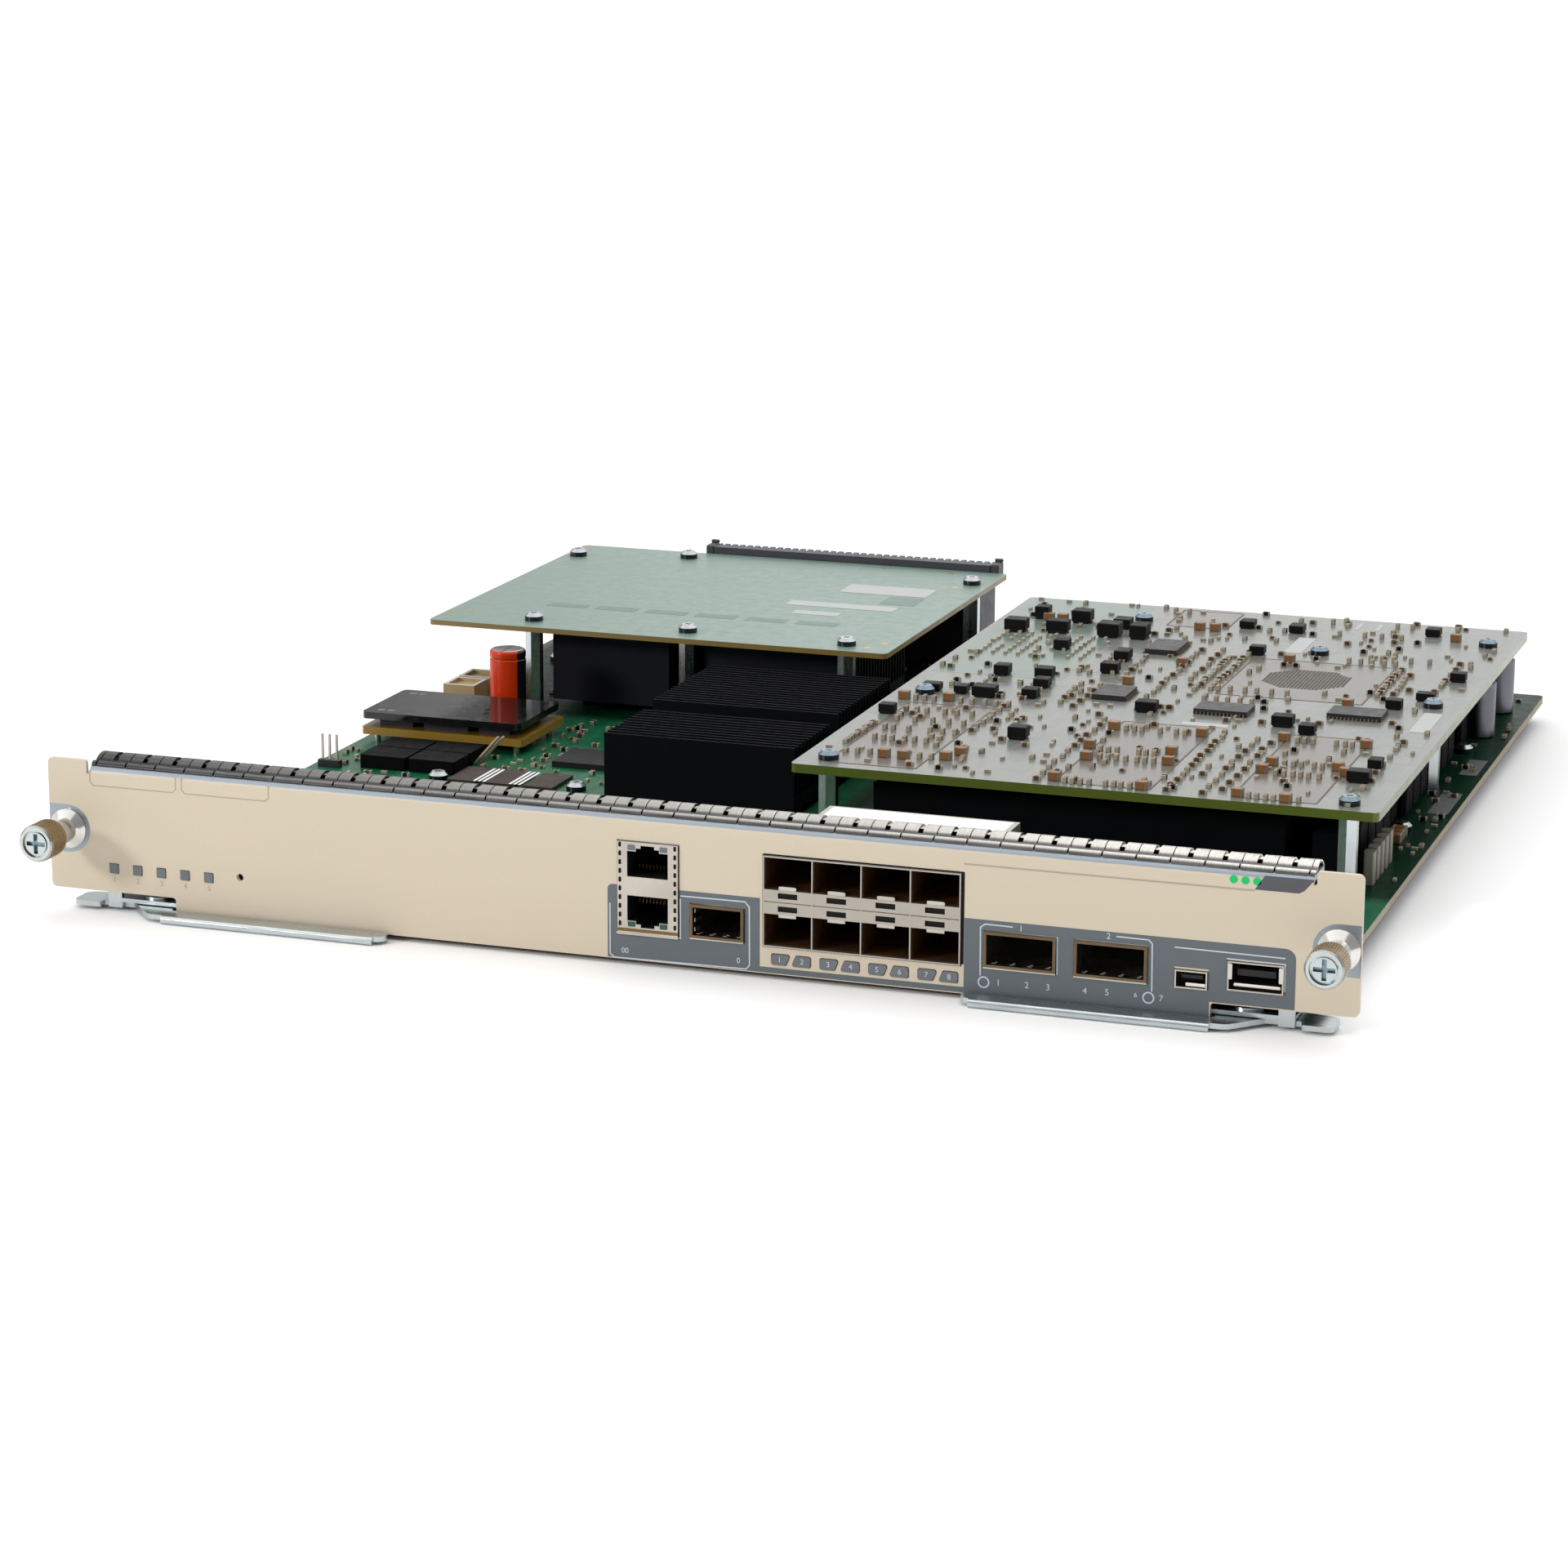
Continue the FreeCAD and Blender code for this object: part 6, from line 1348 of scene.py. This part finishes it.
class MODULE_OT_right_board(bpy.types.Operator):
    """Place capacitors, coils, chip leads, pads and labels on the right raised board"""
    bl_idname = "module.right_board"
    bl_label = "Right board parts"

    # Places as (x, y) from the panel's middle and front
    BULKS = [(23.2, 124), (29.4, 124), (41.9, 127), (44.6, 134), (5, 203), (19.5, 205), (80, 184),
             (108.3, 184), (79.2, 157), (105.1, 157), (82.1, 142), (107.2, 144), (79.8, 113.5),
             (107.2, 111), (133.7, 187), (159.7, 186), (137.1, 154), (157.3, 154), (136.2, 144),
             (160.9, 148), (135.9, 112.5), (150.7, 110.5), (70, 342), (75.5, 342), (158, 353),
             (111, 300), (143, 240), (68, 249), (78, 283), (16, 340), (21, 340)]
    # Coils as (x, y, width, depth, height)
    COILS = [(10, 319, 9, 7, 5), (24.5, 321, 9, 6, 5), (28, 341, 8, 7, 5), (13, 343, 6, 6, 5),
             (43, 321, 9, 8, 5.5), (53.5, 322, 7, 9, 5.5), (44, 336, 7, 7, 4), (58, 264, 7, 6, 4),
             (57, 285, 6, 8, 4), (33, 295, 6, 6, 4), (39.5, 249, 7, 6, 4), (25, 249, 6, 6, 4),
             (42.5, 235, 6, 6, 3.5), (43, 219, 6, 6, 3.5), (28.5, 216, 9, 7, 4), (20, 218, 5, 6, 3),
             (55, 162, 7, 6, 4.5), (83.5, 212, 8, 6, 4), (129, 207, 8, 6, 4),
             (138.5, 199, 6, 6, 3.5), (98, 309, 6, 5, 3.5), (166, 143, 8, 6, 4),
             (167.5, 161, 5, 6, 3.5), (170, 290, 6, 5, 3.5), (157.5, 243, 6, 5, 3.5),
             (6, 182, 6, 5, 3.5), (10, 218, 7, 5, 3), (149, 360, 6, 6, 3), (85, 352, 6, 7, 3),
             (103, 350, 6, 7, 3), (165, 258, 7, 5, 3)]
    COIL_SHARE = (0.85, 0.9, 0.9)
    # Rows as (y, every x)
    ROWS = [(184, (84, 86.5, 89, 95, 100, 103)), (154, (83.5, 86, 88.5, 95.5, 98, 100.5)),
            (144, (86, 88.5, 91, 94, 97.5, 100, 102.5)),
            (111.5, (83.5, 86, 88.5, 91, 96, 98.5, 101, 103.5)),
            (186, (138, 140.5, 143, 150.5, 153, 155.5)), (155, (141, 143.5, 146, 150, 152.5)),
            (142, (141, 143.5, 146, 148.5, 151, 154)), (111.5, (139.5, 142, 144.5, 147, 154.5)),
            (203, (9, 12, 15, 24, 28, 32, 36, 40)), (186, (11, 14.5, 18, 24, 28, 33)),
            (173, (12, 18, 24, 29, 34)), (160, (12, 15, 20, 27, 31, 35)),
            (146, (13, 16, 19, 23, 26, 30)), (126, (14, 18, 34, 37.5)),
            (306, (130, 134, 138, 142, 146)), (313, (136, 140, 144, 150, 156)),
            (250, (98, 102, 107, 111, 116, 121)), (234, (97, 101, 105, 109, 113)),
            (349, (118, 127, 133, 140)), (368, (55, 60, 112, 135, 140, 156))]
    # Columns as (x, first y, last y, pitch)
    COLUMNS = [(6.5, 138, 168, 3.4), (39, 166, 203, 6.0), (74.5, 112, 198, 7.5),
               (114.5, 112, 196, 6.5), (125.5, 112, 190, 8.0), (130.5, 118, 182, 9.0),
               (169, 112, 200, 10.5), (91, 247, 300, 4.2), (95.5, 250, 318, 5.0),
               (79, 238, 312, 7.0), (86, 262, 310, 8.0), (64, 255, 290, 7.0), (149, 258, 300, 4.6),
               (153.5, 262, 296, 6.0), (166, 270, 318, 9.0), (54, 214, 246, 7.0),
               (60, 210, 248, 8.0)]
    # Rectangles as (x0, y0, x1, y1)
    LABELS = [(105.7, 315, 111.7, 341), (98, 197.5, 113, 202), (168, 212, 174, 240),
              (121, 361, 122.4, 372), (128, 361, 129.4, 372)]
    WARM = [(80, 111, 110, 196), (134, 111, 160, 196), (98, 244, 147, 303), (57, 345, 79, 374),
            (8, 112, 37, 199)]
    GREEN = [(1, 246, 46, 375)]
    # Packed chips as (x, y of the frame, width, depth), with leads at the sides or at the ends
    SIDE_CHIPS = [(67.1, 114.1, 11.0, 18.0), (68.1, 39.1, 11.0, 16.0)]
    END_CHIPS = [(107.1, 28.1, 17.5, 12.0), (148.5, 35.1, 17.5, 12.0)]
    PADS = (122.4, 275.3)
    # Pad field and screws as (x, y, half width, half depth)
    CLEAR = [(122.4, 275.3, 15, 16), (6, 117, 6, 7), (167, 117, 6, 7), (9, 216, 5, 8),
             (166, 258, 6, 8), (45, 362, 6, 8), (167, 358, 6, 8), (118, 326, 6, 7)]

    def small_parts(self, top):
        """Capacitors: typed places first, then a loose grid, then strewn ones."""
        taken = [(x, y - FRONT, a / 2, b / 2) for x, y, a, b in self.SIDE_CHIPS + self.END_CHIPS]
        taken += [((a + c) / 2, (b + d) / 2, (c - a) / 2, (d - b) / 2)
                  for a, b, c, d in self.LABELS]
        board = Layout(11, top, taken + self.CLEAR)
        for x, y in self.BULKS:
            board.put("bulk", x, y, False, BULK)
        for y, xs in self.ROWS:
            board.row("cap", xs, y, ROW_CAP)
        for x, y0, y1, pitch in self.COLUMNS:
            board.column("cap", x, y0, y1, pitch, MIDDLE)
        for i in range(9):
            for j in range(7):
                if board.dice.random() < 0.8:
                    board.put("cap_pale", 8 + 4.4 * i, 281 + 5.6 * j, True, SMALL)
        board.strew(2, 176, 112, 376, 330, MIXED)
        board.bake("right_board")

    def large_parts(self, top):
        """Coils, chip leads and the pad field."""
        coil = blocks([(-0.5, 0.5, -0.5, 0.5, 0.12, 1.0), (-0.42, 0.42, -0.54, 0.54, 0.0, 0.2)],
                      0.05)
        rows = [(x, FRONT + y, top, LEVEL, [a * b for a, b in zip(self.COIL_SHARE, size)])
                for x, y, *size in self.COILS]
        lay("right_board_coils", coil, rows, "coil")
        gull_wing = blocks([(-0.2, 0.2, -0.1, 0.5, 0.75, 0.92), (-0.2, 0.2, 0.4, 0.58, 0.1, 0.92),
                            (-0.2, 0.2, 0.4, 1.2, 0.0, 0.17)])
        leads = []
        for chips, sideways in ((self.SIDE_CHIPS, True), (self.END_CHIPS, False)):
            for x, y, width, depth in chips:
                leads += lead_rows(x, y, top, width, depth, sideways)
        lay("right_board_leads", gull_wing, leads, "tin_dull")
        x, y = self.PADS
        pads = grid_pads(x, FRONT + y, top + PAD_RISE, 27, 28, 7)
        lay("right_board_pads", spun([(0.56, 0.0), (0.56, 0.05)], 6), pads, "pad_field")

    def execute(self, context):
        top = RIGHT_HIGH.z
        self.small_parts(top)
        self.large_parts(top)
        level_print("right_board_labels", fields(self.LABELS), "label_soft", top + LABEL_RISE)
        level_print("right_board_planes", fields(self.WARM, 1.0), "mask_warm", top + PLANE_RISE)
        frames = [border(a, FRONT + b, c, FRONT + d, 0.6, 1.0, 0.7) for a, b, c, d in self.WARM]
        level_print("right_board_lines", frames, "pad", top + LINE_RISE)
        level_print("right_board_green_field", fields(self.GREEN, 1.5), "mask_sage",
                    top + FIELD_RISE)
        return {"FINISHED"}


class MODULE_OT_left_board(bpy.types.Operator):
    """Place labels, marks and gold pads on the left raised board, and small parts under it"""
    bl_idname = "module.left_board"
    bl_label = "Left board parts"

    LABELS = [(-63, 342, -30.5, 357), (-74, 314, -34, 322), (-67, 300, -50, 306)]
    SHADES = [(-43, 326, -30, 340)]
    SHADES += [(-153 + 18.6 * i, 283, -138 + 18.6 * i, 289) for i in range(6)]
    GOLD = [(-180, 262), (-172.5, 263), (-20.5, 262), (-24, 254), (-26, 364), (-181, 392),
            (-35, 388)]

    def execute(self, context):
        top = LEFT_HIGH.z
        level_print("left_board_labels", fields(self.LABELS), "label_soft", top + LABEL_RISE)
        level_print("left_board_marks", fields(self.SHADES), "mask_sage_dark", top + MARK_RISE)
        gold = spun([(1.3, 0.0), (1.3, 0.04), (1.1, 0.06)])
        spots = [(x, FRONT + y, top, LEVEL, ONE) for x, y in self.GOLD]
        lay("left_board_gold", gold, spots, "gold")
        under = Layout(5, LEFT_LOW.z)
        under.strew(-176, -20, 252, 388, 120, MIXED)
        for lot, places in under.lots.items():
            hung = [(x, y, z - c, along, a, b, c) for x, y, z, along, a, b, c in places]
            chip_parts("left_board_under_" + lot, hung, lot)
        return {"FINISHED"}


SOLID_REACH = 8.0


def heads(node):
    """Middle and top of each separate solid of a node."""
    found = []
    for vert in NODES[node].data.vertices:
        place = vert.co / MM
        near = [one for one in found if abs(one[0].x - place.x) < SOLID_REACH
                and abs(one[0].y - place.y) < SOLID_REACH]
        if not near:
            found.append([place.copy(), place.copy()])
        for low, high in near:
            for i in range(3):
                low[i] = min(low[i], place[i])
                high[i] = max(high[i], place[i])
    return [((low.x + high.x) / 2, (low.y + high.y) / 2, high.z) for low, high in found]


def footprint(name):
    """Footprint of a part as (x, depth behind the panel, half width, half depth)."""
    low, high = edges(name)
    return ((low.x + high.x) / 2, (low.y + high.y) / 2 - FRONT,
            (high.x - low.x) / 2, (high.y - low.y) / 2)


HEAD_REACH = 4.0
POST_REACH = 5
CHOKE_HALF = 6.0
CHOKE_SIDE = 169.4
CHOKE_START = 124.0
CHOKE_PITCH = 12.4


class MODULE_OT_main_board(bpy.types.Operator):
    """Place small parts, tall chokes, labels and pins on the main board"""
    bl_idname = "module.main_board"
    bl_label = "Main board parts"

    STANDING = ["front_heat_sink", "middle_heat_sink", "rear_left_heat_sink",
                "rear_right_heat_sink", "right_heat_sink", "power_module_board",
                "converter_blocks", "memory_chips", "bulk_capacitor", "board_headers",
                "pin_header", "stack_shell", "management_cage", "wide_cages", "serial_shells",
                "jack_shield", "reset_switch", "edge_cans", "edge_chokes",
                "tall_backplane_connector", "low_backplane_connector"]
    # Other places that stay free, as (x, y of the frame)
    CLEAR = [(-133.0, -36), (-103, -12), (-85.7, -45.5), (-27, -123), (174, -130)]
    # Strewn zones as (x0, x1, y0, y1, count, lots), before and after the bulk parts at the edge
    ZONES = [(-122, -78, 140, 240, 70, MIXED), (-180, -124, 120, 205, 40, MIXED),
             (-180, -80, 30, 130, 90, WITH_BULKS), (-75, 0, 30, 125, 70, WITH_BULKS),
             (0, 178, 75, 118, 60, MIXED)]
    EDGE_BULKS = [(171.5, 174.5), (171.5, 179), (171.5, 183.5)]
    LATE_ZONES = [(160, 181, 120, 385, 34, MIXED), (-180, 160, 250, 372, 60, MIXED)]
    EDGE_LABELS = [(174.5, 214, 181.0, 242), (175.0, 268, 181.0, 290)]
    PINS = [(-133.0, 171), (-131.6, 172)]
    PIN_TILT = (math.radians(4), math.radians(42), 0)

    def choke_row(self):
        """Places of the tall chokes at the right edge, drawn in beside screws and posts."""
        fixed = [(x, y) for x, y, _ in heads("board_screws") + heads("right_mezzanine_posts")
                 if x > CHOKE_SIDE - CHOKE_HALF]
        rows = []
        for i in range(16):
            y = FRONT + CHOKE_START + CHOKE_PITCH * i
            beside = [x - HEAD_REACH for x, depth in fixed
                      if abs(depth - y) < CHOKE_HALF + HEAD_REACH]
            rows.append((min([CHOKE_SIDE] + beside) - CHOKE_HALF, y, BOARD_TOP, LEVEL, ONE))
        return rows

    def small_parts(self, chokes):
        """Strewn parts that keep clear of everything that stands on the board."""
        taken = [footprint(name) for name in self.STANDING]
        taken += [(x, y - FRONT, POST_REACH, POST_REACH) for x, y in self.CLEAR]
        taken += [(x, y - FRONT, HEAD_REACH, HEAD_REACH) for x, y, _ in heads("board_screws")]
        taken += [(x, y - FRONT, CHOKE_HALF, CHOKE_HALF) for x, y, *_ in chokes]
        board = Layout(23, BOARD_TOP, taken)
        for zone in self.ZONES:
            board.strew(*zone)
        for x, y in self.EDGE_BULKS:
            board.put("bulk", x, y, False, EDGE_BULK)
        for zone in self.LATE_ZONES:
            board.strew(*zone)
        board.bake("main_board")

    def execute(self, context):
        chokes = self.choke_row()
        self.small_parts(chokes)
        choke = blocks([(-6.0, 6.0, -5.6, 5.6, 0.6, 16.0), (-5.2, 5.2, -6.0, 6.0, 0.0, 13.0),
                        (-4.4, 4.4, -4.2, 4.2, 15.6, 17.0)], 0.5)
        lay("main_board_chokes", choke, chokes, "sink")
        low, high = edges("memory_chips")
        stripes = [plate(low.x + first + shift, low.y + 0.4, low.x + first + shift + 0.9,
                         high.y - 0.4, 0.2)
                   for first in (9.8, 22.2) for shift in (-0.8, 0.8, 2.4)]
        level_print("memory_marks", stripes, "label", high.z + MARK_RISE)
        level_print("edge_labels", fields(self.EDGE_LABELS), "label_dark", BOARD_TOP + MARK_RISE)
        pin = spun([(0.5, 0.0), (0.5, 13.4), (0.3, 13.9)], 8)
        rows = [(x, FRONT + y, BOARD_TOP, self.PIN_TILT, ONE) for x, y in self.PINS]
        lay("main_board_pins", pin, rows, "tin")
        low, high = edges("power_module_plate")
        rows = grid(low.x + 5.5, low.y + 4.5, high.z, 3.4, high.y - low.y - 9.5, 2, 2)
        lay("power_module_spots", spun([(1.4, 0.0), (1.4, 0.04)], 14), rows, "label_dark")
        return {"FINISHED"}


class MODULE_OT_fasteners(bpy.types.Operator):
    """Set dark crosses on the screw heads as painted shade of driver recesses, and set the guide
    tabs beside the rear comb
    """
    bl_idname = "module.fasteners"
    bl_label = "Fasteners and tabs"

    def execute(self, context):
        # Painted shade: a dark cross stands for each screw's driver recess.
        cross = blocks([(-1.35, 1.35, -0.3, 0.3, -0.5, 0.03), (-0.3, 0.3, -1.35, 1.35, -0.5, 0.03)],
                       0.02)
        dice = random.Random(3)
        rows = []
        for node in ("right_mezzanine_screws", "left_mezzanine_screws", "board_screws"):
            rows += [(x, y, z, (0, 0, dice.uniform(0, math.pi)), ONE) for x, y, z in heads(node)]
        lay("driver_recesses", cross, rows, "recess")
        low, high = edges("tall_backplane_connector")
        tab = blocks([(-1.6, 1.6, 0.0, 7.0, -5.0, 0.4), (-1.6, 1.6, 5.6, 7.0, 0.2, 1.6)], 0.4)
        rows = [(x, low.y + 18.4, high.z, LEVEL, ONE) for x in (low.x - 1.7, high.x + 1.7)]
        lay("rear_guide_tabs", tab, rows, "grey_plastic")
        return {"FINISHED"}


KEY_PLACE = Vector((-2.25, -2.5, 1.27))
KEY_TARGET = Vector((0.0, -0.1, 0.02))
KEY_SIZE = 0.7
TENT_ANGLE = math.radians(110)
TENT_TURN = (math.radians(-12), math.radians(-12), 0)
FLOOR_REACH = 30.0


class MODULE_OT_stage(bpy.types.Operator):
    """Set the pale floor, the soft light and the camera"""
    bl_idname = "module.stage"
    bl_label = "Stage"

    def lights(self, stage):
        """Key softbox in front on the left, and even soft light from above, as under a tent."""
        key = bpy.data.lights.new("key", "AREA")
        key.shape = "DISK"
        key.size = KEY_SIZE
        key.energy = stage.key
        holder = added("key", key)
        holder.location = KEY_PLACE
        holder.rotation_euler = (KEY_TARGET - KEY_PLACE).to_track_quat("-Z", "Y").to_euler()
        tent = bpy.data.lights.new("tent", "SUN")
        tent.energy = stage.tent
        tent.angle = TENT_ANGLE
        added("tent", tent).rotation_euler = TENT_TURN

    def surround(self, stage):
        """White sky, darker in front of the module, on its right and at its rear left corner."""
        world = bpy.data.worlds.new("white surround")
        world.use_nodes = True
        graph = Graph(world.node_tree)
        where = graph.node("ShaderNodeTexCoord").outputs["Generated"]

        def fade(word, start, end, low, high):
            return graph.limits(graph.part(word, where), start, end, low, high,
                                interpolation_type="SMOOTHSTEP")

        corner = graph.maths("MAXIMUM", fade("X", -0.43, -0.3, stage.corner, 1.0),
                             fade("Y", 0.1, 0.4, 1.0, 0.0))
        sides = graph.times(corner, fade("X", 0.3, 0.8, 1.0, stage.right))
        front = fade("Y", -0.65, 0.1, stage.sky * stage.dusk, stage.sky)
        sky = graph.nodes["Background"].inputs
        graph.put(sky["Strength"], graph.times(front, sides))
        graph.put(sky["Color"], (1.0, 1.0, 1.0, 1.0))
        return world

    def floor(self):
        made = Finish("pale floor", Roughness=0.7, Specular_IOR_Level=0.2)
        tone = made.mix(made.noise(400.0), linear(246, 246, 246), linear(250, 250, 250))
        made.feed("Base Color", tone)
        mesh = bpy.data.meshes.new("floor")
        corners = rounded(-FLOOR_REACH, -FLOOR_REACH, FLOOR_REACH, FLOOR_REACH)
        mesh.from_pydata([(x, y, 0) for x, y in corners], [], [(0, 1, 2, 3)])
        mesh.materials.append(made.material)
        floor = added("floor", mesh)

    def camera(self, stage):
        lens = bpy.data.cameras.new("camera")
        lens.lens = stage.lens
        lens.sensor_width = 36.0
        lens.clip_start = 0.05
        lens.clip_end = 200.0
        yaw, pitch, roll = stage.yaw, stage.pitch, stage.roll
        right = Vector((math.cos(yaw), math.sin(yaw), 0))
        ahead = Vector((-math.sin(yaw) * math.cos(pitch), math.cos(yaw) * math.cos(pitch),
                        -math.sin(pitch)))
        up = right.cross(ahead)
        side = right * math.cos(roll) + up * math.sin(roll)
        rise = up * math.cos(roll) - right * math.sin(roll)
        turn = Matrix((side, rise, -ahead)).transposed().to_4x4()
        holder = added("camera", lens)
        holder.matrix_world = Matrix.Translation(stage.eye) @ turn
        bpy.context.scene.camera = holder

    def execute(self, context):
        stage = context.scene.module_stage
        context.scene.world = self.surround(stage)
        context.scene.view_settings.view_transform = "Standard"
        self.lights(stage)
        self.floor()
        self.camera(stage)
        return {"FINISHED"}


STEPS = [MODULE_OT_finishes, MODULE_OT_panel_prints, MODULE_OT_port_fittings,
         MODULE_OT_captive_screws, MODULE_OT_right_board, MODULE_OT_left_board,
         MODULE_OT_main_board, MODULE_OT_fasteners, MODULE_OT_stage]


class MODULE_PT_looks(bpy.types.Panel):
    """Sidebar list of the module's dressing steps and settings"""
    bl_idname = "MODULE_PT_looks"
    bl_label = "Module looks"
    bl_space_type = "VIEW_3D"
    bl_region_type = "UI"
    bl_category = "Module"

    def draw(self, context):
        for step in STEPS:
            self.layout.operator(step.bl_idname)
        scene = context.scene
        for group in (scene.module_finishes, scene.module_sizes, scene.module_stage):
            for word in group.__annotations__:
                self.layout.prop(group, word)


CLASSES = [ModuleFinishes, ModuleSizes, ModuleStage] + STEPS + [MODULE_PT_looks]


def register():
    for one in CLASSES:
        bpy.utils.register_class(one)
    bpy.types.Scene.module_finishes = PointerProperty(type=ModuleFinishes)
    bpy.types.Scene.module_sizes = PointerProperty(type=ModuleSizes)
    bpy.types.Scene.module_stage = PointerProperty(type=ModuleStage)


def unregister():
    del bpy.types.Scene.module_finishes
    del bpy.types.Scene.module_sizes
    del bpy.types.Scene.module_stage
    for one in reversed(CLASSES):
        bpy.utils.unregister_class(one)


def main():
    register()
    for step in STEPS:
        group, word = step.bl_idname.split(".")
        getattr(getattr(bpy.ops, group), word)()


if __name__ == "__main__":
    main()
